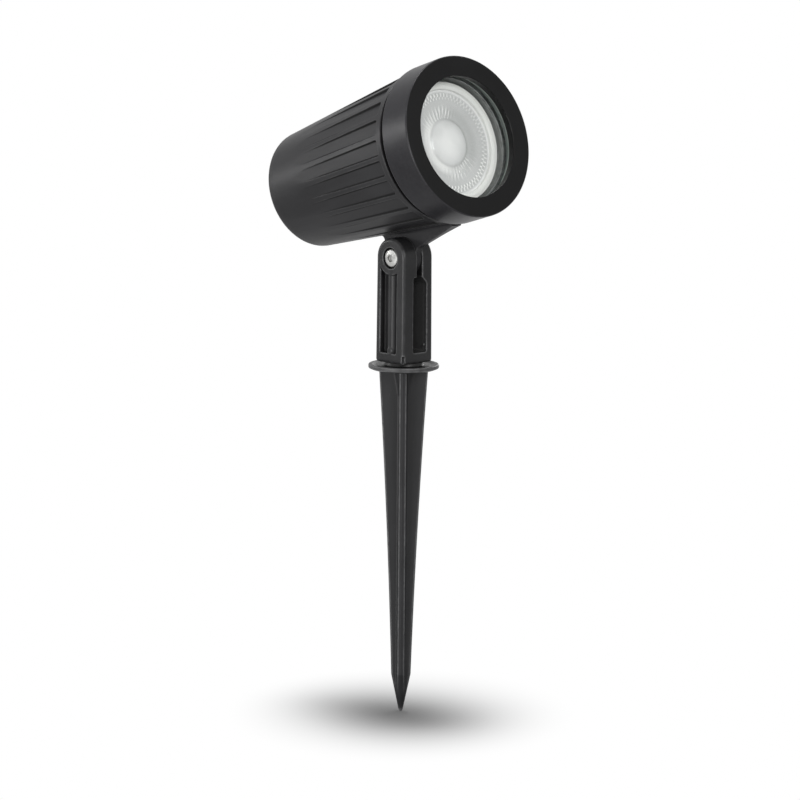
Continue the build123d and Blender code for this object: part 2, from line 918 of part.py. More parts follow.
in_head = {
    "lamp_housing": make_housing(),
    "front_bezel": make_bezel(),
    "bezel_seal": make_bezel_seal(),
    "glass_gasket": ring(gasket_inner, glass_radius, glass_seat, glass_front),
    "cover_glass": disc(glass_radius, glass_front, glass_back),
    "glass_retainer": make_retainer(),
    "lamp_trim": make_lamp_trim(),
    "lamp_lens": make_lamp_lens(),
    "lamp_shell": make_lamp_shell(),
    "lamp_led_board": disc(board_radius, board_front(), board_front() + board_thickness),
    "lamp_chip": block(chip_size, chip_size, board_front() - chip_height, board_front()),
    "lamp_driver_board": make_driver_board(),
    "lamp_base": make_lamp_base(),
    "lamp_pins": make_pins(),
    "lampholder": make_holder(),
    "holder_contacts": make_contacts(),
    "holder_screws": make_holder_screws(),
    "holder_bracket": make_bracket(),
    "bracket_screws": make_bracket_screws(),
    "terminal_block": make_terminal_block(),
    "terminal_screws": make_terminal_screws(),
    "lead_live": pole_lead(1),
    "lead_neutral": pole_lead(-1),
    "lead_earth": make_earth_lead(),
    "earth_tag": make_earth_tag(),
    "earth_screw": make_earth_screw(),
    "gland_body": make_gland_body(),
    "gland_gasket": ring(gland_thread_radius + running_gap, gland_gasket_radius, head_length, gland_face()),
    "gland_locknut": make_locknut(),
    "gland_seal": make_gland_seal(),
    "gland_nut": make_gland_nut(),
}

for name, shape in standing.items():
    save(name, shape)
for name, shape in in_head.items():
    save(name, head * shape)
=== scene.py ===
"""Garden spike spotlight: its finished surfaces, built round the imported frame.

Sizes are millimetres until build() writes them as metres. Pieces of the lamp head are worked out
across the head's axis (x), up from it (y) and in depth behind the bezel's front edge.
"""

import math

import bmesh
import bpy
import numpy as np
from mathutils import Matrix


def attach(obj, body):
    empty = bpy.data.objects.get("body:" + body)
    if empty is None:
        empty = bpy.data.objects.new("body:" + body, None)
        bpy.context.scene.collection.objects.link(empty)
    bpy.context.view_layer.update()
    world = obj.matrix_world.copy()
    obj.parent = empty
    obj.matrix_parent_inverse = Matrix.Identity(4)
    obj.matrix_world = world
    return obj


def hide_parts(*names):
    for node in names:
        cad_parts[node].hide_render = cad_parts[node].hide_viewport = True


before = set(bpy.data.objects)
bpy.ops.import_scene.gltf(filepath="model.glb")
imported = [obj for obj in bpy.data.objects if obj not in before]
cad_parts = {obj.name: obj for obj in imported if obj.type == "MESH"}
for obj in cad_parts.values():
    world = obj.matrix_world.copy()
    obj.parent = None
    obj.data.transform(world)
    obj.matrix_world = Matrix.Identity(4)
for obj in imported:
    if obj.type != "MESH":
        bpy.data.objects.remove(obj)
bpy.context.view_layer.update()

# ---------------------------------------------------------------- sizes shared with the frame

MM = 0.001
TILT = math.radians(18.0)
PIVOT_HEIGHT = 46.1
LUG_PLACE = 0.7          # middle of the lug, across
AXIS_RISE = 38.6         # the head's axis above the pivot, square to the axis
PIVOT_DEPTH = 49.9       # the pivot behind the bezel's front edge
HEAD_LENGTH = 97.5
REAR_WALL = 3.0
NECK_FRONT = 9.5
SHOULDER = 16.0          # depth at which the cone's line has the radius CONE_FRONT
SHOULDER_FRONT = 17.7    # depth at which the cone itself starts
CONE_FRONT = 31.8
CONE_REAR = 24.0
WALL = 2.6
NECK_BORE = 27.0
THREAD = 30.3
RIBS = 23
RIB_WIDTH = 2.2
FLUTE_START = 20.5
FLUTE_DEPTH = 1.15
FLUTE_END = 78.0         # depth at which a flute's floor meets the cone
FLUTE_CORNER = 1.2
REAR_CORNER = 3.0
STEM_FOOT = 3.2
STEM_HALF = 8.15
STEM_DRAFT = math.tan(math.radians(0.25))
SPIKE_LENGTH = 142.0
SPIKE_POINT = 126.5      # depth at which the blades turn in to the tip
LENS_BEADS = 68
LENS_STREAKS = 46

# Directions of the lamp head, and the middle of its front.
FORWARD = np.array([0.0, -math.cos(TILT), math.sin(TILT)])
UPWARD = np.array([0.0, math.sin(TILT), math.cos(TILT)])
ACROSS = np.array([1.0, 0.0, 0.0])
FRONT = np.array([LUG_PLACE, 0.0, PIVOT_HEIGHT]) + AXIS_RISE * UPWARD + PIVOT_DEPTH * FORWARD


def in_head(points):
    """Head points (x, y, depth) as points of the part's frame."""
    x, y, depth = points[..., 0:1], points[..., 1:2], points[..., 2:3]
    return FRONT + x * ACROSS + y * UPWARD - depth * FORWARD


def upright(points):
    """Points of pieces that stand on the part's own axes, as they are."""
    return points


# ---------------------------------------------------------------- meshes


def added(name, data):
    """New object in the scene that holds a mesh, light or camera."""
    made = bpy.data.objects.new(name, data)
    bpy.context.scene.collection.objects.link(made)
    return made


def close_poles(mesh):
    """Merges points that share a place, so that poles and seams are closed."""
    shape = bmesh.new()
    shape.from_mesh(mesh)
    bmesh.ops.remove_doubles(shape, verts=shape.verts, dist=1e-7)
    shape.to_mesh(mesh)
    shape.free()


def edge_bend(mesh, normals):
    """How sharply the surface bends at each point, in 1/mm: above 0 on edges, below 0 in grooves.

    Along each mesh edge it is the change of normal, times the edge, over the edge's length squared.
    A point takes the mean of its edges, and then, twice over, the mean of that and its neighbours'.
    """
    count = len(mesh.vertices)
    places = np.empty(count * 3, np.float32)
    mesh.vertices.foreach_get("co", places)
    places = places.reshape(-1, 3) / MM
    ends = np.empty(len(mesh.edges) * 2, np.int32)
    mesh.edges.foreach_get("vertices", ends)
    one, two = ends.reshape(-1, 2).T
    step = places[two] - places[one]
    length = np.maximum((step**2).sum(-1), 1e-4)
    bend = ((normals[two] - normals[one]) * step).sum(-1) / length
    near = np.maximum(np.bincount(one, minlength=count) + np.bincount(two, minlength=count), 1)
    value = (np.bincount(one, bend, count) + np.bincount(two, bend, count)) / near
    for _ in range(2):
        around = np.bincount(one, value[two], count) + np.bincount(two, value[one], count)
        value = (value + around / near) / 2
    return np.clip(value, -4, 4)


def build(name, points, quads, body, material, replaces=(), place=upright, slopes=None,
          crease=35, marks=None):
    """Mesh object from millimetre points and quads, turned outwards, in metres, riding on a body.

    With slopes, those are its normals. Without them, points that share a place are merged, and
    edges sharper than crease, in degrees, stay sharp. Marks are numbers kept at each point.
    """
    points = place(np.asarray(points, float).reshape(-1, 3))
    corner = points[quads]
    volume = np.einsum("ij,ij->", corner[:, 0], np.cross(corner[:, 1], corner[:, 2]))
    volume += np.einsum("ij,ij->", corner[:, 0], np.cross(corner[:, 2], corner[:, 3]))
    if volume < 0:
        quads = quads[:, ::-1]
    mesh = bpy.data.meshes.new(name)
    mesh.vertices.add(len(points))
    mesh.vertices.foreach_set("co", (points * MM).astype(np.float32).ravel())
    mesh.loops.add(quads.size)
    mesh.loops.foreach_set("vertex_index", quads.astype(np.int32).ravel())
    mesh.polygons.add(len(quads))
    mesh.polygons.foreach_set("loop_start", np.arange(0, quads.size, 4, dtype=np.int32))
    mesh.update(calc_edges=True)
    for mark, values in (marks or {}).items():
        kept = mesh.attributes.new(mark, "FLOAT", "POINT")
        kept.data.foreach_set("value", values.astype(np.float32))
    if slopes is None:
        close_poles(mesh)
    mesh.shade_smooth()
    if slopes is None:
        normals = np.empty(len(mesh.vertices) * 3, np.float32)
        mesh.vertex_normals.foreach_get("vector", normals)
        normals = normals.reshape(-1, 3)
    else:
        normals = place(slopes) - place(np.zeros((1, 3)))
    bend = mesh.attributes.new("bend", "FLOAT", "POINT")
    bend.data.foreach_set("value", edge_bend(mesh, normals).astype(np.float32))
    if slopes is None:
        mesh.set_sharp_from_angle(angle=math.radians(crease))
    else:
        mesh.normals_split_custom_set_from_vertices(normals.tolist())
    piece = added(name, mesh)
    mesh.materials.append(material)
    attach(piece, body)
    if replaces:
        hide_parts(*replaces)
    return piece


def lattice(rows, columns, wrap_rows=False):
    """Quads that join a table of points, whose rows are closed rings, each row to the next.

    With wrap_rows, the last row is joined to the first as well.
    """
    i = np.arange(rows if wrap_rows else rows - 1)[:, None]
    j = np.arange(columns)[None, :]
    down, right = (i + 1) % rows, (j + 1) % columns
    corners = [i * columns + j, i * columns + right, down * columns + right, down * columns + j]
    return np.stack(np.broadcast_arrays(*corners), -1).reshape(-1, 4)


def ring_points(radius, turn, depth):
    """Table of points at x = radius cos turn, y = radius sin turn and z = depth."""
    return np.stack(np.broadcast_arrays(radius * np.cos(turn), radius * np.sin(turn), depth), -1)


def eased(corners, closed=False, steps=6):
    """Line through (radius, depth, ease) corners, each rounded by an arc of radius ease.

    The arc touches both sides of its corner and takes steps + 1 points. A corner without an ease
    stays one point.
    """
    places = np.array([c[:2] for c in corners], float)
    eases = [c[2] if len(c) > 2 else 0.0 for c in corners]
    count = len(corners)
    line = []
    for k in range(count):
        here, ease = places[k], eases[k]
        if ease == 0 or (not closed and k in (0, count - 1)):
            line.append(here[None])
            continue
        back = places[k - 1] - here
        ahead = places[(k + 1) % count] - here
        back, ahead = back / np.linalg.norm(back), ahead / np.linalg.norm(ahead)
        half = math.acos(np.clip(back @ ahead, -1, 1)) / 2
        middle = back + ahead
        centre = here + middle / np.linalg.norm(middle) * ease / math.sin(half)
        first = here + back * ease / math.tan(half) - centre
        last = here + ahead * ease / math.tan(half) - centre
        turn = math.pi - 2 * half
        share = np.linspace(0, 1, steps + 1)[:, None]
        arc = np.sin((1 - share) * turn) * first + np.sin(share * turn) * last
        line.append(centre + arc / math.sin(turn))
    return np.concatenate(line)


def spun(name, line, body, material, replaces=(), place=in_head, around=192, closed=True):
    """Surface of a (radius, depth) line spun about the axis: x = r cos a, y = r sin a.

    An open line has both its ends on the axis. A weighted-normal pass keeps its flats flat.
    """
    turn = np.linspace(0, 2 * math.pi, around, endpoint=False)
    table = ring_points(line[:, 0:1], turn, line[:, 1:2])
    quads = lattice(len(line), around, wrap_rows=closed)
    piece = build(name, table, quads, body, material, replaces, place)
    steady = piece.modifiers.new("steady_flats", "WEIGHTED_NORMAL")
    steady.keep_sharp = True
    return piece


# A field is a function of place that is below 0 inside a solid, 0 on its skin and above 0 outside,
# and close to the distance from the skin, in millimetres.


def meet(a, b, ease):
    """Solid common to two solids, with the outer edge between them rounded by ease.

    Away from the edge it is the larger of the two fields, and along it the distance from a line
    that lies ease inside both skins, less ease.
    """
    inner = np.minimum(-ease, np.maximum(a, b))
    return inner + np.hypot(np.maximum(ease + a, 0), np.maximum(ease + b, 0))


def join(a, b, ease):
    """Two solids as one, with the inner corner between them filled by a fillet of ease.

    It is meet on the two fields turned inside out.
    """
    return -meet(-a, -b, ease)


def cut(a, b, ease):
    """First solid without the second, with the mouth's edge rounded by ease."""
    return meet(a, -b, ease)


def slope_of(field, points, reach=0.02):
    """Central differences of the field along x, y and z at each point."""
    parts = []
    for axis in range(3):
        shift = np.zeros(3)
        shift[axis] = reach
        parts.append(field(*(points + shift).T) - field(*(points - shift).T))
    return np.stack(parts, -1) / (2 * reach)


DRAW_STEPS = 4           # rounds of drawing the points onto the skin


def skin(field, low, high, step):
    """Closed skin where field(x, y, z) is zero, as (points, quads, outward slopes).

    One point stands in each cell that the skin crosses, at the mean of the crossings on the cell's
    edges, and is then drawn onto the zero along the field's slope. Each crossed edge joins its four
    cells by a quad.
    """
    low = np.array(low, float)
    step = np.array(step, float) * np.ones(3)
    count = np.ceil((np.array(high, float) - low) / step).astype(int) + 1
    axes = [low[a] + step[a] * np.arange(count[a]) for a in range(3)]
    value = field(*np.meshgrid(*axes, indexing="ij"))
    cells = tuple(count - 1)
    total = np.zeros(cells + (3,))
    hits = np.zeros(cells)
    crossings = []
    for axis in range(3):
        first = np.moveaxis(np.moveaxis(value, axis, 0)[:-1], 0, axis)
        second = np.moveaxis(np.moveaxis(value, axis, 0)[1:], 0, axis)
        crossed = (first < 0) != (second < 0)
        share = np.where(crossed, first / np.where(crossed, first - second, 1), 0)
        crossings.append((crossed, first < 0))
        one, two = (axis + 1) % 3, (axis + 2) % 3
        for near in (0, 1):
            for far in (0, 1):
                window = [slice(0, cells[0]), slice(0, cells[1]), slice(0, cells[2])]
                window[one] = slice(near, near + cells[one])
                window[two] = slice(far, far + cells[two])
                here = crossed[tuple(window)]
                total[..., axis] += share[tuple(window)]
                total[..., one] += here * near
                total[..., two] += here * far
                hits += here
    used = hits > 0
    number = np.full(cells, -1)
    number[used] = np.arange(used.sum())
    points = low + (np.argwhere(used) + total[used] / hits[used][:, None]) * step
    quads = []
    for axis, (crossed, below) in enumerate(crossings):
        one, two = (axis + 1) % 3, (axis + 2) % 3
        edge = np.argwhere(crossed)
        edge = edge[(edge[:, one] > 0) & (edge[:, two] > 0)]
        edge = edge[(edge[:, one] < cells[one]) & (edge[:, two] < cells[two])]
        ring = []
        for near, far in ((1, 1), (0, 1), (0, 0), (1, 0)):
            cell = edge.copy()
            cell[:, one] -= near
            cell[:, two] -= far
            ring.append(number[tuple(cell.T)])
        ring = np.stack(ring, -1)
        flip = ~below[tuple(edge.T)]
        ring[flip] = ring[flip][:, ::-1]
        quads.append(ring)
    for _ in range(DRAW_STEPS):
        slope = slope_of(field, points)
        size = np.maximum((slope**2).sum(-1, keepdims=True), 0.05)
        move = field(*points.T)[:, None] * slope / size
        points -= np.clip(move, -0.7 * step, 0.7 * step)
    slope = slope_of(field, points, 0.05)
    slope /= np.maximum(np.linalg.norm(slope, axis=-1, keepdims=True), 1e-9)
    return points, np.concatenate(quads), slope


def carved(name, field, low, high, step, body, material, replaces=(), place=upright):
    """Piece made as the skin of a field, shaded by the field's own slopes."""
    points, quads, slopes = skin(field, low, high, step)
    return build(name, points, quads, body, material, replaces, place, slopes)


# ---------------------------------------------------------------- shader maths


class Wire:
    """A shader node's output, so that sums and products of wires are written as plain maths."""

    def __init__(self, finish, socket):
        self.finish = finish
        self.socket = socket

    def maths(self, operation, *others):
        """A Math node on this wire and the others."""
        inputs = dict(enumerate((self,) + others))
        return self.finish.node("ShaderNodeMath", {"operation": operation}, inputs)

    def __add__(self, other):
        return self.maths("ADD", other)

    __radd__ = __add__

    def __mul__(self, other):
        return self.maths("MULTIPLY", other)

    __rmul__ = __mul__

    def __sub__(self, other):
        return self.maths("SUBTRACT", other)

    def __rsub__(self, other):
        return (self * -1.0).maths("ADD", other)

    def __truediv__(self, other):
        return self.maths("DIVIDE", other)

    def __abs__(self):
        return self.maths("ABSOLUTE")

    def above(self, other):
        """The larger of the two."""
        return self.maths("MAXIMUM", other)

    def below(self, other):
        """The smaller of the two."""
        return self.maths("MINIMUM", other)

    def ramp(self, low, high, start=0.0, end=1.0):
        """Eased step from start to end as the value goes from low to high."""
        inputs = {"Value": self, "From Min": low, "From Max": high, "To Min": start, "To Max": end}
        return self.finish.node("ShaderNodeMapRange", {"interpolation_type": "SMOOTHSTEP"}, inputs)


def colour_of(shade):
    """Colour with its alpha, from a grey or from red, green and blue."""
    return (shade if isinstance(shade, tuple) else (shade, shade, shade)) + (1,)


class Finish:
    """A material, or the world, and the one way its nodes are made."""

    def __init__(self, name, kind="materials"):
        self.owner = getattr(bpy.data, kind).new(name)
        self.owner.use_nodes = True
        self.tree = self.owner.node_tree
        self.tree.nodes.clear()

    def node(self, kind, settings=None, inputs=None, output=0):
        """New node: its settings first, then values or wires on its sockets."""
        made = self.tree.nodes.new(kind)
        for key, value in (settings or {}).items():
            if key == "stops":
                self.fill_ramp(made.color_ramp, value)
            else:
                setattr(made, key, value)
        for key, value in (inputs or {}).items():
            if isinstance(value, Wire):
                self.tree.links.new(value.socket, made.inputs[key])
            else:
                made.inputs[key].default_value = value
        return Wire(self, made.outputs[output]) if made.outputs else None

    @staticmethod
    def fill_ramp(ramp, stops):
        """Sets a ramp's stops from (place, shade) pairs."""
        while len(ramp.elements) < len(stops):
            ramp.elements.new(0.5)
        for element, (place, shade) in zip(ramp.elements, stops):
            element.position = place
            element.color = colour_of(shade)

    def place(self):
        """Object coordinates, in metres."""
        return self.node("ShaderNodeTexCoord", output=3)

    def split(self, vector):
        """A vector's three parts."""
        made = self.node("ShaderNodeSeparateXYZ", None, {0: vector})
        return [Wire(self, made.socket.node.outputs[k]) for k in range(3)]

    def dot(self, vector, direction):
        """Length of a vector along a fixed direction."""
        inputs = {0: vector, 1: tuple(direction)}
        return self.node("ShaderNodeVectorMath", {"operation": "DOT_PRODUCT"}, inputs, 1)

    def head_place(self):
        """Place in the lamp head, in millimetres: across, up and depth."""
        inputs = {0: self.place(), 1: tuple(FRONT * MM)}
        place = self.node("ShaderNodeVectorMath", {"operation": "SUBTRACT"}, inputs)
        return [self.dot(place, way / MM) for way in (ACROSS, UPWARD, -FORWARD)]

    def from_axis(self, x, y):
        """Distance from the axis that x and y are square to."""
        return (x * x + y * y).maths("SQRT")

    def in_sight(self):
        """1 for the camera, also by way of a mirror or a clear piece, and 0 for light."""
        path = self.node("ShaderNodeLightPath").socket.node
        rays = ("Is Camera Ray", "Is Glossy Ray", "Is Transmission Ray")
        seen, mirrored, through = [Wire(self, path.outputs[ray]) for ray in rays]
        return seen.above(mirrored).above(through)

    def mark(self, name):
        """A number that the mesh keeps at each point."""
        return self.node("ShaderNodeAttribute", {"attribute_name": name}, None, 2)

    def stretched(self, vector, scale, turn=(0.0, 0.0, 0.0)):
        """Coordinates scaled by a different number along each axis, then turned."""
        inputs = {"Vector": vector, "Scale": scale, "Rotation": turn}
        return self.node("ShaderNodeMapping", None, inputs)

    def noise(self, vector, scale, detail=3.0, rough=0.55):
        """Soft random pattern, about 0.5 in the mean."""
        inputs = {"Vector": vector, "Scale": scale, "Detail": detail, "Roughness": rough}
        return self.node("ShaderNodeTexNoise", None, inputs)

    def cells(self, vector, scale, feature="F1"):
        """Distance from the nearest of many scattered points, or from the edge between two."""
        inputs = {"Vector": vector, "Scale": scale}
        return self.node("ShaderNodeTexVoronoi", {"feature": feature}, inputs)

    def mixed(self, factor, low, high):
        """Mix of two colours, from low at factor 0 to high at factor 1."""
        return self.node("ShaderNodeMix", {"data_type": "RGBA"}, {0: factor, 6: low, 7: high}, 2)

    def tint(self, factor, low, high):
        """Mix of two fixed shades, each a grey or red, green and blue."""
        return self.mixed(factor, colour_of(low), colour_of(high))

    def bump(self, height, strength, distance, normal=None):
        """Normal tilted by a height, on top of another bump's normal where one is given."""
        inputs = {"Height": height, "Strength": strength, "Distance": distance}
        if normal:
            inputs["Normal"] = normal
        return self.node("ShaderNodeBump", None, inputs)

    def surface(self, **inputs):
        """Principled surface from socket names written with underscores."""
        named = {key.replace("_", " "): value for key, value in inputs.items()}
        named = {"Specular IOR Level" if k == "Specular" else k: v for k, v in named.items()}
        return self.node("ShaderNodeBsdfPrincipled", None, named)

    def show(self, shader, output="ShaderNodeOutputMaterial"):
        """Puts a shader on the output and hands back the finished material or world."""
        self.node(output, None, {"Surface": shader})
        return self.owner


def coat(name, dark, light, wear_and_highlight_tone, rough, grain, specular, cast=0.25, strength=0.22, painted_light_area=None,
         streaks=False):
    """Satin powder coat: orange-peel bump, slow cloudy change of tone, pits, dust, lighter edges.

    The mesh's bend says where an edge is made lighter, in patches, partly as wear and partly as
    painted highlight, and where a groove is darkened as painted shade. Its soot mark
    darkens more of it as painted shade, and its bare mark shows the metal. A painted light area is
    a mask with two tones painted there, as fill light in the stem's pocket and as shade on the
    bezel's face, and streaks run from front to rear.
    """
    f = Finish(name)
    place = f.place()
    cloud = f.noise(place, 38.0, 2.0)
    fleck = f.noise(place, 900.0, 2.0, 0.7)
    peel = f.noise(place, grain, 2.0, 0.5)
    pits = f.cells(place, grain * 0.55).ramp(0.0, 0.32)
    patch = f.noise(place, 260.0, 3.0, 0.65)
    tone = (cloud * 0.7 + fleck * 0.3).ramp(0.3, 0.72)
    if streaks:
        x, y, depth = f.head_place()
        along = f.node("ShaderNodeCombineXYZ", None, {0: x * 0.16, 1: y * 0.16, 2: depth * 0.02})
        tone = (tone * 0.5 + f.noise(along, 1.0, 2.0, 0.5).ramp(0.35, 0.65) * 0.5)
    bend = f.mark("bend")
    # Lighter edges: partly wear of the coat, partly painted highlight.
    edge = bend.ramp(0.15, 0.9) * (patch.ramp(0.25, 0.7) * 0.75 + 0.25)
    # Painted shade: grooves and the soot mark are darkened, and made rougher.
    groove = bend.ramp(-1.2, -0.2, 0.65, 0.0).above(f.mark("soot"))
    dust = f.cells(place, 1500.0).ramp(0.05, 0.14, 1.0, 0.0)
    dust = dust * fleck.ramp(0.55, 0.7)
    wear_and_highlight_colour = f.tint(fleck, light, wear_and_highlight_tone)
    colour = f.mixed(edge.above(dust * cast), f.tint(tone, dark, light), wear_and_highlight_colour)
    colour = f.mixed(groove, colour, f.tint(tone, 0.004, 0.006))
    # Painted light and shade: the masked area gets its own two tones.
    if painted_light_area:
        mask, deep, pale = painted_light_area
        colour = f.mixed(mask(f), colour, f.tint(tone, deep, pale))
    metal = f.tint(tone, (0.5, 0.51, 0.505), (0.62, 0.625, 0.62))
    colour = f.mixed(f.mark("bare"), colour, metal)
    roughness = rough + (cloud - 0.5) * 0.16 + (fleck - 0.5) * 0.1 - edge * 0.06 + groove * 0.45
    return f.show(f.surface(
        Base_Color=colour, Roughness=roughness, Specular=specular,
        Normal=f.bump(peel * 0.6 + pits * cast, strength, 0.00008),
    ))


def pocket_mask(f):
    """1 in the stem's deep front pocket, which has painted fill light, and 0 on its outer faces."""
    x, y, z = f.split(f.place())
    inside = y.ramp(-0.0079, -0.006) * x.ramp(-0.0026, -0.0022) * x.ramp(0.0049, 0.0052, 1.0, 0.0)
    return inside * z.ramp(0.0074, 0.0078) * z.ramp(0.037, 0.039, 1.0, 0.0)


def face_mask(f):
    """1 on the bezel's front face and in its mouth, which take painted shade, and 0 along its side.
    """
    x, y, _ = f.head_place()
    return f.from_axis(x, y).ramp(32.6, 32.95, 1.0, 0.0)


def spike_plastic():
    """Moulded black plastic: streaks along the blades, a parting line down each edge, scuffs.

    Its edges are lighter in patches, partly as wear and partly as painted highlight, and it is
    darkened under the neck, in the dish of the flange, as painted shade.
    """
    f = Finish("spike_plastic")
    place = f.place()
    flow = f.noise(f.stretched(place, (520.0, 520.0, 26.0)), 1.0, 3.0, 0.6)
    cloud = f.noise(place, 60.0, 2.0)
    grain = f.noise(place, 2600.0, 2.0, 0.5)
    turned = f.stretched(place, (1.0, 1.0, 1.0), (0.0, 0.0, math.radians(45)))
    x, y, _ = f.split(turned)
    line = abs(x).below(abs(y)).ramp(0.00008, 0.00026, 1.0, 0.0)
    scuff = f.noise(f.stretched(place, (900.0, 900.0, 160.0)), 1.0, 4.0, 0.7).ramp(0.62, 0.76)
    patch = f.noise(f.stretched(place, (300.0, 300.0, 120.0)), 1.0, 3.0, 0.65).ramp(0.25, 0.7)
    # Lighter edges: partly wear, partly painted highlight.
    edge = f.mark("bend").ramp(0.15, 0.9) * (patch * 0.6 + 0.4)
    x, y, z = f.split(place)
    # Painted shade under the neck and in the dish of the flange.
    under = f.from_axis(x, y).ramp(0.0095, 0.0125, 1.0, 0.0) * z.ramp(0.0012, 0.0016)
    tone = (flow * 0.6 + cloud * 0.4).ramp(0.3, 0.7)
    plain = f.tint(tone, (0.0065, 0.0065, 0.007), (0.0125, 0.0125, 0.0135))
    wear_and_highlight_tone = f.tint(cloud, (0.075, 0.075, 0.076), (0.11, 0.11, 0.112))
    colour = f.mixed((scuff * 0.3).above(edge), plain, wear_and_highlight_tone)
    colour = f.mixed(under * 0.9, colour, f.tint(cloud, 0.002, 0.004))
    roughness = 0.38 + flow * 0.12 + scuff * 0.12
    first = f.bump(flow * 0.5 + grain * 0.35, 0.25, 0.0001)
    normal = f.bump(line, 0.6, 0.0001, first)
    return f.show(f.surface(Base_Color=colour, Roughness=roughness, Specular=0.22, Normal=normal))


def steel(name, dark, light, rough):
    """Bright or plated metal: fine marks, faint dull patches."""
    f = Finish(name)
    place = f.place()
    marks = f.noise(place, 3000.0, 3.0, 0.6)
    patch = f.noise(place, 320.0, 3.0, 0.6).ramp(0.35, 0.75)
    return f.show(f.surface(
        Base_Color=f.tint(patch, light, dark), Metallic=1.0,
        Roughness=rough + marks * 0.12 + patch * 0.1, Normal=f.bump(marks, 0.15, 0.00003),
    ))


def moulded(name, dark, light, rough, specular=0.4, grain=1500.0, strength=0.12, **more):
    """Plain moulded plastic, rubber or ceramic: a fine grain and a slow change of tone."""
    f = Finish(name)
    place = f.place()
    cloud = f.noise(place, 90.0, 3.0, 0.6)
    fine = f.noise(place, grain, 2.0, 0.5)
    return f.show(f.surface(
        Base_Color=f.tint(cloud, dark, light), Specular=specular,
        Roughness=rough + (cloud - 0.5) * 0.14 + (fine - 0.5) * 0.08,
        Normal=f.bump(fine, strength, 0.00006), **more,
    ))


def green_board():
    """Varnished glass-fibre board: dark green with lighter tracks and a weave under the varnish."""
    f = Finish("board_green")
    place = f.place()
    weave = f.noise(f.stretched(place, (4200.0, 900.0, 4200.0)), 1.0, 2.0)
    tracks = f.cells(place, 620.0, "DISTANCE_TO_EDGE").ramp(0.02, 0.06, 1.0, 0.0)
    plain = f.tint(weave, (0.012, 0.09, 0.03), (0.02, 0.13, 0.045))
    over_track = f.tint(weave, (0.05, 0.24, 0.08), (0.06, 0.28, 0.1))
    return f.show(f.surface(
        Base_Color=f.mixed(tracks * 0.6, plain, over_track), Roughness=0.3 + weave * 0.15,
        Specular=0.5, Normal=f.bump(tracks, 0.2, 0.00004),
    ))


def striped_lead():
    """Green insulation with a yellow stripe wound round it."""
    f = Finish("lead_green")
    place = f.place()
    _, y, z = f.split(place)
    band = ((y + z * 0.6) * 900.0).maths("SINE").ramp(-0.1, 0.1)
    fine = f.noise(place, 2400.0, 2.0)
    green = f.tint(fine, (0.03, 0.2, 0.03), (0.04, 0.25, 0.04))
    yellow = f.tint(fine, (0.62, 0.5, 0.03), (0.7, 0.56, 0.04))
    return f.show(f.surface(
        Base_Color=f.mixed(band, green, yellow), Roughness=0.35 + fine * 0.1,
        Normal=f.bump(fine, 0.1, 0.00003),
    ))


def clear_glass():
    """Flat glass: clear face on, mirror-like at a slant, faintly smeared, ground at its rim."""
    f = Finish("clear_glass")
    place = f.place()
    smear = f.noise(f.stretched(place, (60.0, 200.0, 90.0)), 1.0, 3.0, 0.6)
    x, y, _ = f.head_place()
    ground = f.from_axis(x, y).ramp(27.0, 27.25)
    film = f.node("ShaderNodeBsdfTransparent", None, {"Color": (0.98, 0.985, 0.982, 1)})
    clear = f.tint(smear, (0.05, 0.07, 0.06), (0.08, 0.1, 0.09))
    edge = f.tint(smear, (0.19, 0.215, 0.205), (0.27, 0.3, 0.285))
    gloss = f.surface(
        Base_Color=f.mixed(ground, clear, edge), Roughness=smear * 0.08 + ground * 0.4,
        Specular=0.5,
    )
    slant = f.node("ShaderNodeLayerWeight", None, {"Blend": 0.18}, 0)
    share = (slant * 0.42 + 0.025 + (smear - 0.5) * 0.02).above(ground * 0.8).below(1.0)
    return f.show(f.node("ShaderNodeMixShader", None, {0: share, 1: film, 2: gloss}))


# Tone of the lens from its middle (0) to its rim (1), which is at a radius of LENS_REACH.
LENS_REACH = 24.0
LENS_RINGS = (
    (0.0, 0.9), (0.2, 0.87), (0.36, 0.77), (0.405, 0.67), (0.435, 0.61), (0.52, 0.63),
    (0.64, 0.65), (0.74, 0.63), (0.85, 0.66), (0.88, 0.79), (1.0, 0.83),
)


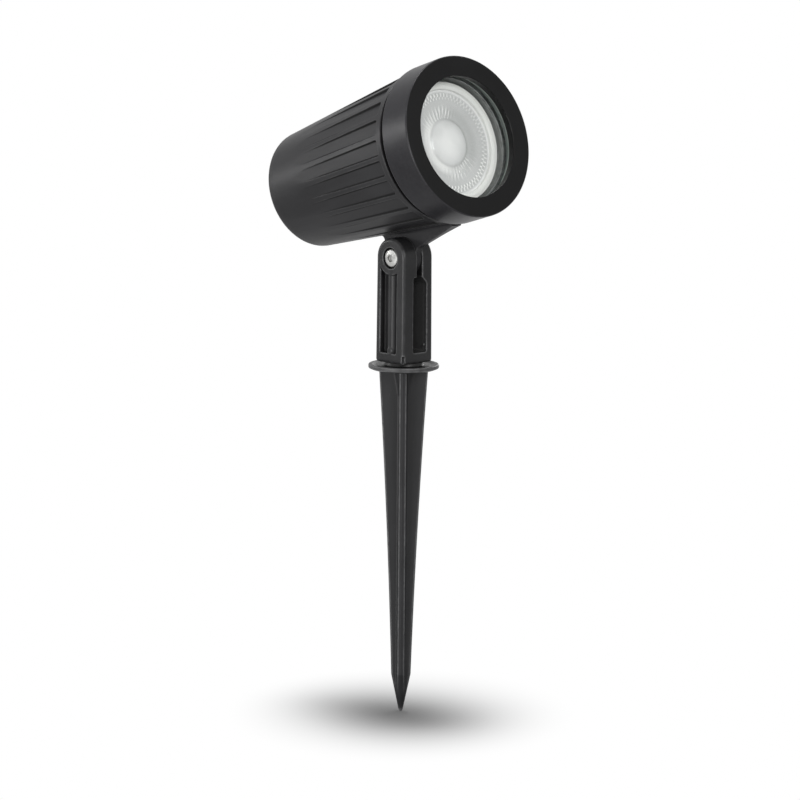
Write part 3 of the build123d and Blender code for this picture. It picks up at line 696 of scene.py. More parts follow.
def lens_clear():
    """Milky moulded lens, its tone worked out from radius and angle about the lamp's axis.

    White in the middle and at the rim, a dark line round the dome and grey in the trough. Painted
    highlights: bright streaks fanning out of the trough in two lobes as painted glints, a bright
    crescent beside the dome and a glow on it, both stronger on one side, and painted shade on the
    trough's other side. A belt of two rows of bright radial marks, half a step apart, with grey
    between them, is the lens's beads with painted glints on them, fainter towards one side.
    """
    f = Finish("lens_clear")
    place = f.place()
    frost = f.noise(place, 1500.0, 3.0, 0.6)
    cloud = f.noise(place, 110.0, 2.0)
    x, y, _ = f.head_place()
    radius = f.from_axis(x, y)
    turn = y.maths("ARCTAN2", x)
    tone = f.node("ShaderNodeValToRGB", {"stops": LENS_RINGS}, {0: radius / LENS_REACH})
    # Painted light: side leans the painted highlights to one side of the axis, and the painted
    # shade to the other.
    side = (x * -0.97 - y * 0.24) / radius
    wander = f.noise(place, 240.0, 2.0)
    # Painted glints: streaks fanning out of the trough, stronger in two lobes.
    fan = (turn * LENS_STREAKS + wander * 7.0 + radius * 0.6).maths("SINE").ramp(0.1, 0.95)
    lobes = abs((x * 0.31 - y * 0.95) / radius).ramp(0.7, 0.92)
    fan = fan * lobes * cloud.ramp(0.3, 0.5, 0.5, 1.0)
    fan = fan * radius.ramp(9.6, 10.4) * radius.ramp(13.2, 16.5, 1.0, 0.0)
    rows = radius.ramp(18.7, 19.1) * math.pi
    marks = (turn * LENS_BEADS + rows + wander * 1.6).maths("SINE").ramp(0.0, 0.8)
    # The bead marks are painted glints, fainter towards one side.
    faint = ((x * 0.8 + y * 0.6) / radius).ramp(0.2, 0.9, 1.0, 0.45)
    faint = faint * cloud.ramp(0.3, 0.55, 0.6, 1.0)
    marks = marks * faint
    belt = radius.ramp(17.7, 18.0) * radius.ramp(20.2, 20.5, 1.0, 0.0)
    # Painted highlight: a crescent beside the dome and a glow on it, stronger on the side.
    crescent = radius.ramp(9.3, 10.3) * radius.ramp(11.4, 14.6, 1.0, 0.0) * side.ramp(0.0, 0.75)
    glow = (1.0 - radius / 10.0).above(0.0) * (side * 0.25 + 0.75)
    light = (fan * 0.75).above(marks * belt).above(crescent).above(glow)
    # Painted shade on the trough's other side.
    dull = radius.ramp(7.6, 10.6) * radius.ramp(12.6, 17.4, 1.0, 0.0)
    dull = dull * side.ramp(-0.8, 0.2, 0.7, 0.0)
    between = belt * (1.0 - marks) * 0.5 * faint
    shade = between.above(cloud.ramp(0.45, 0.75, 0.0, 0.25)).above(dull)
    colour = f.mixed(shade, tone, f.tint(frost, (0.46, 0.465, 0.46), (0.52, 0.525, 0.52)))
    colour = f.mixed(light, colour, f.tint(frost, (0.93, 0.925, 0.915), (0.97, 0.965, 0.955)))
    return f.show(f.surface(
        Base_Color=colour, Roughness=0.2 + frost * 0.12, Specular=0.35,
        Normal=f.bump(frost, 0.1, 0.00006), Coat_Weight=0.12, Coat_Roughness=0.12,
    ))


body_coat = coat(
    "body_coat", (0.0105, 0.0103, 0.0112), (0.0185, 0.0183, 0.0195), (0.06, 0.06, 0.0615),
    rough=0.42, grain=2300.0, specular=0.13, streaks=True,
)
bezel_coat = coat(
    "bezel_coat", (0.0095, 0.0092, 0.0108), (0.0165, 0.016, 0.0182), (0.04, 0.04, 0.042),
    rough=0.36, grain=2300.0, specular=0.12,
    # The front face is painted darker than the side, as painted shade.
    painted_light_area=(face_mask, (0.002, 0.002, 0.0021), (0.004, 0.004, 0.0042)),
)
stem_coat = coat(
    "stem_coat", (0.0085, 0.0085, 0.009), (0.0185, 0.0185, 0.0192), (0.125, 0.125, 0.127),
    rough=0.38, grain=2100.0, specular=0.17, cast=0.6, strength=0.4,
    # The deep pocket is painted lighter, as painted fill light.
    painted_light_area=(pocket_mask, 0.04, 0.055),
)
spike_black = spike_plastic()
bright_steel = steel("bright_steel", (0.2, 0.2, 0.195), (0.37, 0.37, 0.36), 0.42)
zinc_steel = steel("zinc_steel", (0.2, 0.205, 0.205), (0.34, 0.345, 0.345), 0.42)
brass = steel("contact_brass", (0.5, 0.34, 0.12), (0.74, 0.56, 0.24), 0.26)
nickel = steel("pin_nickel", (0.5, 0.49, 0.46), (0.7, 0.68, 0.64), 0.22)
rubber = moulded("seal_rubber", 0.008, 0.016, 0.6, 0.3)
silicone = moulded("gasket_silicone", (0.16, 0.19, 0.17), (0.22, 0.25, 0.23), 0.4, 0.4)
lamp_white = moulded("lamp_white", (0.78, 0.78, 0.755), (0.86, 0.86, 0.84), 0.34, 0.5,
                     Coat_Weight=0.25)
gland_black = moulded("gland_plastic", (0.01, 0.01, 0.0105), (0.018, 0.018, 0.019), 0.45, 0.35)
ceramic = moulded("ceramic_white", (0.72, 0.7, 0.65), (0.82, 0.8, 0.76), 0.4, 0.5, 700.0, 0.2)
block_plastic = moulded("block_plastic", (0.6, 0.58, 0.53), (0.7, 0.68, 0.63), 0.45)
brown_lead = moulded("lead_brown", (0.08, 0.035, 0.015), (0.11, 0.05, 0.022), 0.4)
blue_lead = moulded("lead_blue", (0.015, 0.07, 0.28), (0.02, 0.1, 0.36), 0.4)
chip_yellow = moulded("chip_yellow", (0.7, 0.48, 0.06), (0.8, 0.58, 0.1), 0.35)
board_green = green_board()
green_lead = striped_lead()
glass = clear_glass()
lens_milky = lens_clear()

# ---------------------------------------------------------------- lamp housing


def cone_radius(depth):
    """Outer radius of the housing's cone: a straight line from CONE_FRONT to CONE_REAR."""
    return CONE_FRONT + (CONE_REAR - CONE_FRONT) * (depth - SHOULDER) / (HEAD_LENGTH - SHOULDER)


def make_housing():
    """Housing wall as one closed table of depth by angle.

    Its line runs round the wall: neck, groove, shoulder, cone, rear, gland hole and cavity. On the
    cone, the radius drops by the flute's depth times an eased step of the distance inside the
    flute's outline, a strip with rounded front corners between two ribs. The columns keep their
    millimetre place beside each rib, so that they follow its edges all the way back. Inside the
    least spread they run straight in to the axis.
    """
    groove_floor, groove_front, groove_rear = 28.55, 12.35, 14.45
    gland_hole, least_spread = 5.98, 22.0
    cavity_end = HEAD_LENGTH - REAR_WALL
    inner_rear = cone_radius(cavity_end) - WALL
    inner_share = (CONE_FRONT - WALL - NECK_BORE) / (CONE_FRONT - CONE_REAR)
    meet_depth = SHOULDER + inner_share * (HEAD_LENGTH - SHOULDER)
    before = eased([
        (NECK_BORE, 20.0), (NECK_BORE, NECK_FRONT, 0.4), (THREAD, NECK_FRONT, 0.5),
        (THREAD, groove_front, 0.12), (groove_floor, groove_front, 0.2),
        (groove_floor, groove_rear, 0.2), (THREAD, groove_rear, 0.12),
        (THREAD - 0.3, SHOULDER_FRONT, 0.3), (cone_radius(SHOULDER_FRONT), SHOULDER_FRONT, 0.4),
        (cone_radius(18.2), 18.2),
    ], steps=5)
    fine_depths = np.arange(20.15, 22.3, 0.13)
    depths = np.concatenate([
        [18.8, 19.4, 19.8, 20.0], fine_depths, [22.6, 23.2, 24.2], np.linspace(25.5, 91.0, 34),
    ])
    cone = np.stack([cone_radius(depths), depths], -1)
    arc = 7
    after = eased([
        (cone_radius(92.2), 92.2), (CONE_REAR, HEAD_LENGTH, REAR_CORNER),
        (gland_hole, HEAD_LENGTH, 0.3), (gland_hole, cavity_end, 0.2),
        (inner_rear, cavity_end, 2.0), (NECK_BORE, meet_depth, 3.0), (NECK_BORE, 24.0),
    ], steps=arc)
    line = np.concatenate([before, cone, after])
    radius, depth = line[:, 0:1], line[:, 1:2]
    on_cone = np.zeros(len(line), bool)
    on_cone[len(before):len(before) + len(cone)] = True

    pitch = 2 * math.pi / RIBS
    beside = np.array([0.0, 0.45, 0.8, 0.93, 1.03, 1.12, 1.21, 1.31, 1.45, 1.75])
    spread = np.maximum(radius, least_spread)
    half_flute = pitch * spread / 2
    floor = beside[-1] + (half_flute - beside[-1]) * np.array([0.33, 0.66, 1.0])
    right = np.concatenate([beside + 0 * radius, floor], 1)
    one_rib = np.concatenate([-right[:, :0:-1], right[:, :-1]], 1)
    rib = np.arange(RIBS)
    turn = math.pi / 2 + (rib[:, None] * pitch + one_rib[:, None, :] / spread[:, :, None])
    turn = turn.reshape(len(line), -1)
    off_rib = np.abs(np.tile(one_rib, (1, RIBS)))

    to_side = off_rib - RIB_WIDTH / 2
    to_front = depth - FLUTE_START
    near_side = np.maximum(FLUTE_CORNER - to_side, 0)
    near_front = np.maximum(FLUTE_CORNER - to_front, 0)
    corner = FLUTE_CORNER - np.hypot(near_side, near_front)
    inside = np.where(near_side + near_front > 0, corner, np.minimum(to_side, to_front))
    side_width = 0.36
    step = np.clip(inside / side_width + 0.5, 0, 1)
    step = step * step * (3 - 2 * step)
    share = (depth - FLUTE_START) / (FLUTE_END - FLUTE_START)
    flat = cone_radius(FLUTE_START) - FLUTE_DEPTH
    flat = flat + (cone_radius(FLUTE_END) - flat) * share
    from_middle = np.maximum(half_flute - off_rib, 0) / radius
    drop = np.maximum(radius - flat / np.cos(from_middle), 0)
    full = radius - on_cone[:, None] * step * drop

    quads = lattice(len(line), turn.shape[1], wrap_rows=True)
    # Bare metal: the cavity, from the gland hole's inner edge round to the neck's inner edge.
    past_hole = len(before) + len(cone) + 1 + 2 * (arc + 1)
    bare = np.zeros((len(line), 1))
    bare[past_hole:] = 1.0
    bare[:5] = 1.0
    # Painted shade: the neck behind its front, in the gap under the bezel, and the walls of the
    # flutes.
    on_neck = (radius > NECK_BORE + 0.5) & (radius < THREAD + 0.2)
    on_neck = on_neck & (depth > NECK_FRONT + 1) & (depth < SHOULDER_FRONT + 0.1)
    wall = np.clip(1.2 - np.abs(inside - 0.1) / 0.4, 0, 1) * np.clip(drop / 0.35, 0, 1)
    soot = np.maximum(on_neck.astype(float), 0.95 * on_cone[:, None] * wall)
    marks = {"bare": (bare + 0 * turn).ravel(), "soot": soot.ravel()}
    build("housing_wall", ring_points(full, turn, depth), quads, "head", body_coat,
          ["lamp_housing"], in_head, crease=50, marks=marks)


def lug_field(x, s, t):
    """Lug and web beside the pivot: x across, s forward and t up from the pivot's centre.

    In side view it is the round eye, joined with a web that lies above a line from the eye's
    middle to the nose, in front of a line behind the eye, behind the nose and under the cone.
    Across, it is a plate that flares into the cone by a fillet and widens towards the nose.
    """
    eye_radius, nose, fillet = 7.6, 32.6, 1.3
    half_plate, bore = 1.5, 2.05
    widening_start, widening_run, widening = 20.0, 13.0, 1.4
    nose_rise = AXIS_RISE - 33.0
    tail_run, tail_rise = 1.9, 12.8
    under_cone = AXIS_RISE - cone_radius(PIVOT_DEPTH - s)
    eye = np.hypot(s, t) - eye_radius
    below = (nose_rise * s - nose * t) / math.hypot(nose, nose_rise)
    tail = (-t * tail_run - (s + eye_radius) * tail_rise) / math.hypot(tail_run, tail_rise)
    web = np.maximum(np.maximum(below, tail), s - nose)
    side_view = np.maximum(join(eye, web, 2.5), t - under_cone - fillet)
    rise = np.clip(fillet - (under_cone - t), 0, fillet)
    flare = fillet - np.sqrt(np.maximum(fillet**2 - rise**2, 0))
    spread = np.clip((s - widening_start) / widening_run, 0, 1) ** 2 * widening
    plate = np.abs(x) - half_plate - flare - spread
    return cut(meet(plate, side_view, 0.45), np.hypot(s, t) - bore, 0.3)


def make_lug():
    """Lug piece, the skin of its field, with its own lie about the pivot."""

    def place(points):
        """Pivot points (x, s, t) as points of the part's frame."""
        x, s, t = points[..., 0:1], points[..., 1:2], points[..., 2:3]
        return in_head(np.concatenate([x, t - AXIS_RISE, PIVOT_DEPTH - s], -1))

    carved("lug", lug_field, (-4.8, -11.0, -8.4), (4.8, 34.2, 14.6), (0.22, 0.3, 0.3), "head",
           body_coat, place=place)


# ---------------------------------------------------------------- bezel, glass and lamp


def make_front():
    """Bezel, seal, glass, gasket and the lamp's turned pieces, each a spun (radius, depth) line."""
    bezel = eased([
        (24.9, 0.5, 0.3), (33.18, 0.19, 0.6), (32.9, 15.2, 0.8), (30.4, 15.2, 0.3),
        (30.4, 9.5, 0.2), (27.7, 9.5, 0.3), (27.7, 3.8, 0.15), (25.2, 3.8, 0.3),
    ], closed=True)
    spun("bezel_ring", bezel, "bezel", bezel_coat, ["front_bezel"], around=256)
    turn = np.linspace(0, 2 * math.pi, 20, endpoint=False)
    seal = np.stack([29.45 + 0.85 * np.cos(turn), 13.4 + 0.85 * np.sin(turn)], -1)
    spun("neck_seal", seal, "head", rubber, ["bezel_seal"])
    pane = eased([(0, 4.6), (27.4, 4.6, 0.5), (27.4, 7.6, 0.5), (0, 7.6)])
    spun("front_pane", pane, "glass_pack", glass, ["cover_glass"], closed=False)
    gasket = eased([
        (25.5, 3.8, 0.25), (27.4, 3.8, 0.2), (27.4, 4.6, 0.2), (25.5, 4.6, 0.25),
    ], closed=True, steps=3)
    spun("pane_gasket", gasket, "glass_pack", silicone, ["glass_gasket"])

    rim = eased([
        (21.6, 11.6, 0.2), (21.9, 10.5, 0.5), (23.2, 10.1, 0.8), (24.75, 10.2, 0.4),
        (25.0, 11.0, 0.3), (25.0, 15.2, 0.2), (23.8, 15.2, 0.1), (23.8, 12.9, 0.1),
        (21.6, 12.9, 0.1),
    ], closed=True)
    spun("lamp_rim", rim, "lamp", lamp_white, ["lamp_trim"])
    shell = eased([
        (25.0, 15.2, 0.2), (24.3, 18.5, 4.0), (16.5, 42.0, 6.0), (15.2, 50.0, 0.3),
        (14.0, 50.0, 0.3), (15.3, 42.0, 6.0), (23.1, 18.5, 4.0), (23.8, 15.2, 0.2),
    ], closed=True)
    spun("lamp_case", shell, "lamp", lamp_white, ["lamp_shell"])
    base = eased([
        (0, 48.0), (13.95, 48.0, 0.3), (13.95, 50.0), (15.2, 50.0, 0.3), (15.2, 52.0, 0.6),
        (12.5, 54.0, 0.8), (12.5, 57.0, 0.8), (0, 57.0),
    ])
    spun("lamp_foot", base, "lamp", lamp_white, ["lamp_base"], closed=False)


def make_lens():
    """Lens front as a table of radius by angle, closed behind by its flat back and collimator.

    Height towards the viewer: a dome in the middle, a trough round it, a shallow bowl that rises
    to the rim, a ring of radial beads near the edge, a fine step outside them, and streaks across
    the trough, stronger in two lobes.
    """
    radius = np.concatenate([
        np.linspace(0, 8.8, 24), np.linspace(9.0, 12.4, 18), np.linspace(12.7, 17.6, 14),
        np.linspace(17.8, 21.0, 22), np.linspace(21.3, 23.7, 6),
    ])[:, None]
    turn = np.linspace(0, 2 * math.pi, 768, endpoint=False)[None, :]
    dome = 2.2 * np.clip(1 - (radius / 10.0) ** 2, 0, 1) ** 0.8
    trough = -0.3 * np.exp(-(((radius - 10.6) / 1.1) ** 2))
    bowl = 0.5 * np.clip((radius - 11.5) / 9.0, 0, 1) ** 2
    ring = np.exp(-(((radius - 19.3) / 0.75) ** 4))
    beads = 0.25 * ring * (0.5 + 0.5 * np.sin(LENS_BEADS * turn)) ** 1.5
    lobes = np.clip((np.abs(np.cos(turn + 1.26)) - 0.6) / 0.3, 0.12, 1)
    waves = np.sin(LENS_STREAKS * turn + 1.5 * np.sin(5 * turn))
    streaks = 0.15 * lobes * np.exp(-(((radius - 12.4) / 1.9) ** 2)) * waves
    edge_step = -0.25 * np.exp(-(((radius - 20.9) / 0.22) ** 2))
    height = dome + trough + bowl + beads + streaks + edge_step
    front = ring_points(radius, turn, 12.0 - height * 0.8)
    back = np.array([(23.7, 14.8), (9.0, 14.8), (5.0, 21.0), (0.0, 21.0)])
    table = np.concatenate([front, ring_points(back[:, 0:1], turn, back[:, 1:2])])
    quads = lattice(len(table), turn.shape[1])
    build("lamp_face", table, quads, "lamp", lens_milky, ["lamp_lens"], in_head,
          crease=50)


# ---------------------------------------------------------------- stem and pivot


def hexagon(u, v, flats):
    """Field of a hexagonal bar with two of its flats at v = plus and minus half of flats."""
    return np.maximum(np.abs(v), np.abs(v) * 0.5 + np.abs(u) * math.sqrt(0.75)) - flats / 2


def ball(x, y, z, radius):
    """Field of a ball: the distance from its middle, less its radius."""
    return np.sqrt(x**2 + y**2 + z**2) - radius


def stem_field(x, y, z):
    """Post with a slight draft, square below and round at the top in side view, and its cuts.

    The fork's slot, the front pocket, the side recess, the screw's bore, the nut's pocket and the
    stud's hole are cut from it. A round rib, a knob at its foot and a speck in the pocket are
    joined to it, and a short groove is cut into the foot of its near corner.
    """
    up = z - PIVOT_HEIGHT
    half = STEM_HALF - np.minimum(up, 0) * STEM_DRAFT
    side_view = np.hypot(y, np.maximum(up, 0)) - half
    post = meet(np.abs(x) - half, side_view, 1.4)
    post = meet(post, STEM_FOOT - z, 1.2)

    slot_half, slot_depth = 1.6, 9.9
    slot = meet(np.abs(x - LUG_PLACE) - slot_half, -slot_depth - up, 0.3)
    post = cut(post, slot, 0.3)

    near_wall, far_wall, back_wall, pocket_floor, pocket_drop = 5.5, 3.4, 3.0, 7.6, 7.8
    top = up + pocket_drop
    near, far = -STEM_HALF + near_wall - x, x - (STEM_HALF - far_wall)
    slant = ((x - 2.4) + top) / math.sqrt(2)
    ends = meet(np.maximum(top, slant), pocket_floor - z, 0.7)
    mouth = meet(meet(near, far, 0.7), ends, 0.7)
    pocket = meet(mouth, y - (STEM_HALF - back_wall), 0.8)
    post = cut(post, pocket, 0.35)

    recess_depth, recess_middle, recess_half, recess_floor, ear_radius = 2.6, 0.8, 4.7, 7.2, 6.9
    mouth = meet(np.abs(y - recess_middle) - recess_half, recess_floor - z, 0.7)
    mouth = meet(mouth, ear_radius - np.hypot(y, up), 0.5)
    recess = np.maximum(meet(mouth, x + STEM_HALF - recess_depth, 0.5), up)
    post = cut(post, recess, 0.35)
    rib_inset, rib_radius, rib_drop, rib_foot = 2.7, 2.65, 4.0, 6.4
    rib = np.hypot(y, (x + STEM_HALF - rib_inset)) - rib_radius
    rib = meet(meet(rib, up + rib_drop, 0.3), rib_foot - z, 0.3)
    post = join(post, rib, 0.35)
    knob = ball(y, x + 6.7, z - 8.2, 1.9)
    post = join(post, np.maximum(knob, -x - STEM_HALF - 0.1), 0.4)

    groove = np.hypot(x + STEM_HALF - 0.35, y + STEM_HALF - 0.35) - 0.5
    post = cut(post, np.maximum(groove, z - 6.6), 0.15)
    post = join(post, ball(x - 4.75, y + 6.8, z - 10.4, 0.55), 0.15)

    counterbore, screw_seat, screw_bore = 4.3, -4.9, 2.05
    nut_flats, nut_seat = 7.2, 4.65
    stud_bore, stud_top = 2.53, 9.0
    bore = np.hypot(y, up)
    post = cut(post, meet(bore - counterbore, x - screw_seat, 0.15), 0.25)
    post = cut(post, bore - screw_bore, 0.15)
    post = cut(post, meet(hexagon(y, up, nut_flats), nut_seat - x, 0.1), 0.25)
    return cut(post, np.maximum(np.hypot(x, y) - stud_bore, z - stud_top), 0.1)


def screw_field(x, y, z):
    """Domed head, a ball cut to the head's radius, less a hexagon socket, joined to its shank."""
    dome_radius, dome_middle, head_radius, head_seat = 11.5, 3.2, 3.7, -5.7
    key_flats, socket_floor = 2.8, -7.2
    shank_radius, shank_start, shank_end = 2.0, -6.2, 7.85
    up = z - PIVOT_HEIGHT
    across = np.hypot(y, up)
    dome = np.sqrt(across**2 + (x - dome_middle) ** 2) - dome_radius
    head = meet(meet(dome, across - head_radius, 0.55), x - head_seat, 0.15)
    socket = meet(hexagon(y, up, key_flats), x - socket_floor, 0.1)
    head = cut(head, socket, 0.15)
    shank = meet(meet(across - shank_radius, x - shank_end, 0.3), shank_start - x, 0.3)
    return join(head, shank, 0.1)


def nut_field(x, y, z):
    """Slab of a hexagonal bar, with its corners turned off by two cones, less its bore."""
    flats, middle, half_height, bore = 7.0, 6.25, 1.6, 2.06
    bevel, bevel_radius, bevel_length = 1.7, 3.55, 1.97
    up = z - PIVOT_HEIGHT
    across = np.hypot(y, up)
    from_face = np.abs(x - middle) - half_height
    body = meet(hexagon(y, up, flats), from_face, 0.12)
    cone = (across + from_face * bevel - bevel_radius) / bevel_length
    return cut(meet(body, cone, 0.1), across - bore, 0.25)


def make_stem():
    """Stem, screw and nut, each the skin of its field."""
    wide = STEM_HALF + 0.75
    carved("stem_post", stem_field, (-wide, -wide, 2.6), (wide, wide, 55.0), 0.27, "stem",
           stem_coat, ["stem_fork"])
    carved("screw_head", screw_field, (-8.4, -4.2, 41.9), (8.4, 4.2, 50.3), 0.13, "stem",
           bright_steel, ["pivot_screw"])
    carved("pivot_nut_turned", nut_field, (4.2, -4.6, 41.5), (8.3, 4.6, 50.7), 0.14, "stem",
           bright_steel, ["pivot_nut"])


# ---------------------------------------------------------------- spike


def spike_field(x, y, z):
    """Cross of two blades inside a round outline that tapers down to the tip, and its boss.

    The outline's radius falls by 6 mm in a curve down to the point's start, and then by 3.25 mm
    more. The boss between the blades narrows by 0.152 mm in each millimetre.
    """
    top_radius, taper, hollow, point_taper = 10.0, 6.0, 4 * 0.55, 3.25
    half_blade = 1.45
    one, two = np.abs(x + y) / math.sqrt(2), np.abs(x - y) / math.sqrt(2)
    share = np.clip(-z / SPIKE_POINT, 0, 1)
    wide = top_radius - taper * share - hollow * share * (1 - share)
    down = np.clip((-z - SPIKE_POINT) / (SPIKE_LENGTH - SPIKE_POINT), 0, 1)
    wide = wide - point_taper * down
    cross = join(one - half_blade, two - half_blade, 1.0)
    across = np.hypot(x, y)
    shank = meet(cross, across - wide, 0.5)
    boss = across - (4.0 + 0.152 * z)
    shank = join(shank, meet(boss, -10.5 - z, 0.6), 0.6)
    shank = meet(shank, -SPIKE_LENGTH - z, 0.6)
    return meet(shank, z - 0.9, 0.2)


def make_spike():
    """Spike, the skin of its field, and the flange with its neck, spun."""
    carved("spike_blades", spike_field, (-10.9, -10.9, -142.8), (10.9, 10.9, 1.6),
           (0.27, 0.27, 0.75), "spike", spike_black, ["ground_spike"])
    flange = eased([
        (0, 0.0), (12.6, 0.0, 2.5), (14.4, 0.7, 0.5), (14.4, 2.3, 0.55), (13.0, 2.3, 0.6),
        (11.4, 1.75, 2.0), (8.0, 1.9, 0.5), (7.6, 3.2, 0.3), (2.6, 3.2, 0.2), (2.6, 2.4), (0, 2.4),
    ], steps=7)
    spun("soil_flange", flange, "spike", spike_black, place=upright, closed=False)


# ---------------------------------------------------------------- cable gland


CABLE_HOLE = 4.2


def gland_cap_field(x, y, depth):
    """Hexagonal bar rounded by a cylinder and a flattened ball, less its exit hole and thread."""
    flats, corner_radius, near, far = 14.4, 7.6, 4.3, 13.6
    dome_middle, dome_radius, dome_flattened = 6.8, 7.65, 1.05
    thread_radius, thread_end = 6.0, 10.6
    across, back = np.hypot(x, y), depth - HEAD_LENGTH
    body = meet(hexagon(x, y, flats), across - corner_radius, 0.4)
    dome = np.sqrt(across**2 + ((back - dome_middle) * dome_flattened) ** 2) - dome_radius
    body = meet(body, dome, 0.4)
    body = meet(body, near - back, 0.25)
    body = meet(body, back - far, 0.5)
    body = cut(body, across - CABLE_HOLE, 0.4)
    return cut(body, np.maximum(across - thread_radius, back - thread_end), 0.2)


def gland_body_field(x, y, depth):
    """Hexagonal collar joined to a tube whose radius ripples as a thread, less its bore."""
    thread_radius, ripple, pitch, near, far = 5.83, 0.12, 1.5, -6.0, 10.0
    flats, corner_radius, collar_middle, collar_half = 15.0, 8.35, 2.5, 1.5
    seal_radius, seal_seat = 4.95, 6.0
    across, back = np.hypot(x, y), depth - HEAD_LENGTH
    ring = across - thread_radius - ripple * np.cos(back * 2 * math.pi / pitch)
    thread = meet(meet(ring, near - back, 0.4), back - far, 0.4)
    body = meet(hexagon(x, y, flats), np.abs(back - collar_middle) - collar_half, 0.35)
    body = meet(body, across - corner_radius, 0.3)
    body = join(body, thread, 0.15)
    body = cut(body, across - CABLE_HOLE, 0.2)
    return cut(body, np.maximum(across - seal_radius, seal_seat - back), 0.1)


def make_gland():
    """Cap nut and body, each the skin of its field, and the washer and rubber seal, spun."""
    rear = HEAD_LENGTH
    carved("gland_cap", gland_cap_field, (-8.6, -8.6, rear + 3.7), (8.6, 8.6, rear + 14.4), 0.24,
           "head", gland_black, ["gland_nut"], in_head)
    carved("gland_hex", gland_body_field, (-9.2, -9.2, rear - 6.8), (9.2, 9.2, rear + 10.8), 0.25,
           "head", gland_black, ["gland_body"], in_head)
    washer = eased([
        (6.0, rear, 0.2), (7.4, rear, 0.3), (7.4, rear + 1, 0.3), (6.0, rear + 1, 0.2),
    ], closed=True, steps=3)
    spun("gland_washer", washer, "head", rubber, ["gland_gasket"], around=96)
    near, far = rear + 6.0, rear + 10.5
    seal = eased([
        (3.5, near, 0.3), (4.9, near, 0.3), (4.9, far, 0.5), (3.5, far, 0.5),
    ], closed=True, steps=4)
    spun("gland_grip", seal, "head", rubber, ["gland_seal"], around=96)


make_housing()
make_lug()
make_front()
make_lens()
make_stem()
make_spike()
make_gland()

# ---------------------------------------------------------------- pieces that keep their solid

KEPT = {
    "stem_stud": zinc_steel,
    "pivot_washer": bright_steel,
    "glass_retainer": zinc_steel,
    "lamp_led_board": board_green,
    "lamp_chip": chip_yellow,
    "lamp_driver_board": board_green,
    "lamp_pins": nickel,
    "lampholder": ceramic,
    "holder_contacts": brass,
    "holder_screws": zinc_steel,
    "holder_bracket": zinc_steel,
    "bracket_screws": zinc_steel,
    "terminal_block": block_plastic,
    "terminal_screws": brass,
    "lead_live": brown_lead,
    "lead_neutral": blue_lead,
    "lead_earth": green_lead,
    "earth_tag": brass,
    "earth_screw": brass,
    "gland_locknut": gland_black,
}
for node_name, finish in KEPT.items():
    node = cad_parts[node_name]
    node.data.materials.clear()
    node.data.materials.append(finish)

# ---------------------------------------------------------------- floor, light and camera

FLOOR = -SPIKE_LENGTH - 0.2
VIEW_AZIMUTH = -43.7
VIEW_ELEVATION = 9.0
VIEW_ROLL = 0.52
LAMP_TARGET = (0.0, 0.0, 0.03)

# Lamps: name, azimuth and elevation in degrees, distance and size in metres, power in watts.
# The side lamps' light is kept off the floor.
SIDE_LAMPS = (
    ("left_rear_key", -147, 8, 1.1, (0.24, 0.26), 3.3),
    ("left_side", -84, 0, 1.3, (0.6, 0.3), 13.0),
    ("right_rear_fill", 112, 16, 1.3, (0.6, 0.5), 5.0),
    ("near_fill", -50, 3, 1.5, (0.4, 0.4), 3.2),
    ("front_fill", -14, 24, 1.4, (0.5, 0.5), 13.0),
)
TOP_LAMP = ("top_soft", 136.3, 87.2, 1.3, (0.27, 0.42), 13.5)


def make_floor():
    """Pale floor: a flat disc of rings. Paper round the spike takes the shadow, and fades to white.

    The fade follows an ellipse: the root of the sum of the squares of the way across the view and
    the way towards it, each in shares of its half axis (in metres). As light, the disc is an even
    grey.
    """
    half_across, half_along, nearer = 0.074, 0.094, 0.005
    radius = np.array([0, 100, 250, 500, 1000, 2500, 6000, 12000.0])[:, None]
    turn = np.linspace(0, 2 * math.pi, 96, endpoint=False)[None, :]
    table = ring_points(radius, turn, FLOOR)
    quads = lattice(len(table), turn.shape[1])
    mesh = bpy.data.meshes.new("floor")
    mesh.from_pydata((table.reshape(-1, 3) * MM).tolist(), [], quads[:, ::-1].tolist())
    close_poles(mesh)
    f = Finish("floor_paper")
    place = f.place()
    fine = f.noise(place, 400.0, 2.0)
    plain = f.surface(Base_Color=f.tint(fine, 0.5, 0.52), Roughness=0.9, Specular=0.1)
    # Painted shadow: the paper is a grey darker than the white beyond, and its elliptical fade sets
    # the shadow's outline; the lamp's own shadow falls on it too.
    paper = f.node("ShaderNodeBsdfDiffuse", None, {"Color": f.tint(fine, 0.8, 0.82)})
    white = f.node("ShaderNodeEmission", None, {"Color": (1, 1, 1, 1), "Strength": 1.0})
    a = math.radians(VIEW_AZIMUTH)
    across = f.dot(place, (math.cos(a), math.sin(a), 0.0)) / half_across
    along = (f.dot(place, (math.sin(a), -math.cos(a), 0.0)) - nearer) / half_along
    far = f.from_axis(across, along).ramp(0.0, 1.0)
    shown = f.node("ShaderNodeMixShader", None, {0: far, 1: paper, 2: white})
    lit = {0: f.in_sight(), 1: plain, 2: shown}
    mesh.materials.append(f.show(f.node("ShaderNodeMixShader", None, lit)))
    floor = added("floor", mesh)
    return floor


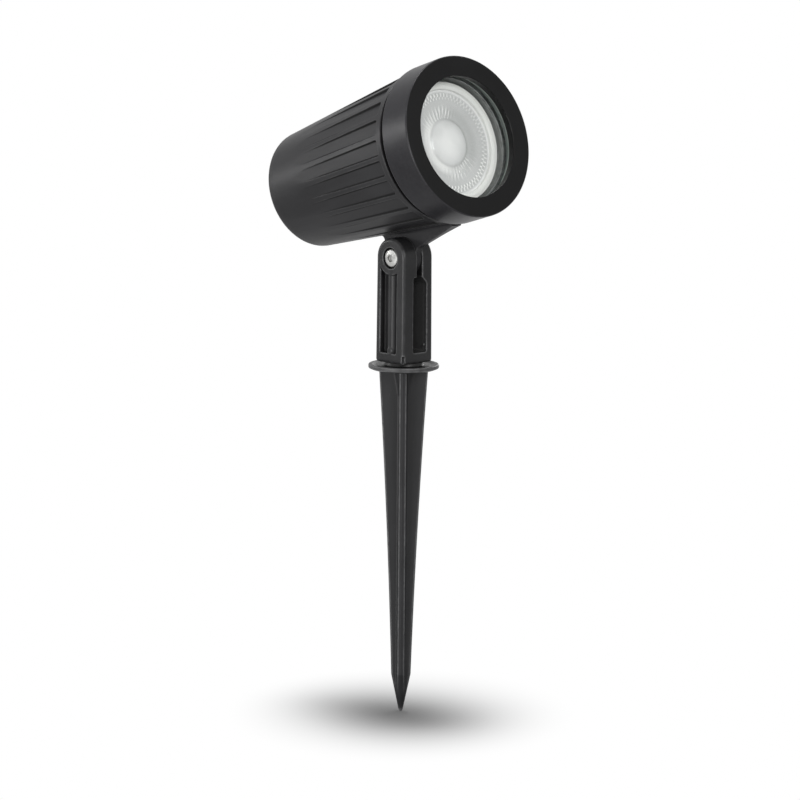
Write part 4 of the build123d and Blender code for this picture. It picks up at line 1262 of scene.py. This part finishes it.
def make_world():
    """Even pale surroundings: white where they are seen or mirrored, softer as light."""
    f = Finish("studio", "worlds")
    soft, white = [
        f.node("ShaderNodeBackground", None, {"Color": (1, 1, 1, 1), "Strength": strength})
        for strength in (0.25, 1.0)
    ]
    mixed = f.node("ShaderNodeMixShader", None, {0: f.in_sight(), 1: soft, 2: white})
    bpy.context.scene.world = f.show(mixed, "ShaderNodeOutputWorld")


def facing(azimuth, elevation, roll=0.0):
    """Turn of a camera or lamp that looks back from an azimuth and elevation, in degrees.

    Its columns point right, up and away from the target, and roll turns the first two.
    """
    a, e, roll = [math.radians(angle) for angle in (azimuth, elevation, roll)]
    away = np.array([math.sin(a) * math.cos(e), -math.cos(a) * math.cos(e), math.sin(e)])
    right = np.array([math.cos(a), math.sin(a), 0.0])
    up = np.cross(away, right)
    matrix = np.eye(4)
    matrix[:3, 0] = right * math.cos(roll) + up * math.sin(roll)
    matrix[:3, 1] = up * math.cos(roll) - right * math.sin(roll)
    matrix[:3, 2] = away
    return matrix


def lamp(name, azimuth, elevation, distance, size, power):
    """Soft rectangular lamp that looks at the target from an azimuth and elevation."""
    light = bpy.data.lights.new(name, "AREA")
    light.shape = "RECTANGLE"
    light.size, light.size_y = size
    light.energy = power
    made = added(name, light)
    matrix = facing(azimuth, elevation)
    matrix[:3, 3] = np.array(LAMP_TARGET) + matrix[:3, 2] * distance
    made.matrix_world = Matrix(matrix.tolist())
    return made


def spare(light, thing):
    """Keeps a lamp's light off one thing."""
    group = bpy.data.collections.new(light.name + "_spares")
    group.objects.link(thing)
    light.light_linking.receiver_collection = group
    group.collection_objects[0].light_linking.link_state = "EXCLUDE"


def make_camera():
    """Long lens at the photograph's angle, its place given back, left and down from the origin."""
    back, left, down = 2.171, 0.00149, 0.01262
    camera = added("camera", bpy.data.cameras.new("camera"))
    camera.data.sensor_width = 36.0
    camera.data.lens = 240.0
    camera.data.clip_start, camera.data.clip_end = 0.1, 60.0
    view = facing(VIEW_AZIMUTH, VIEW_ELEVATION, VIEW_ROLL)
    view[:3, 3] = view[:3, 2] * back - view[:3, 0] * left - view[:3, 1] * down
    camera.matrix_world = Matrix(view.tolist())
    bpy.context.scene.camera = camera


ground = make_floor()
make_world()
for row in SIDE_LAMPS:
    spare(lamp(*row), ground)
lamp(*TOP_LAMP)
make_camera()
bpy.context.scene.view_settings.view_transform = "Standard"
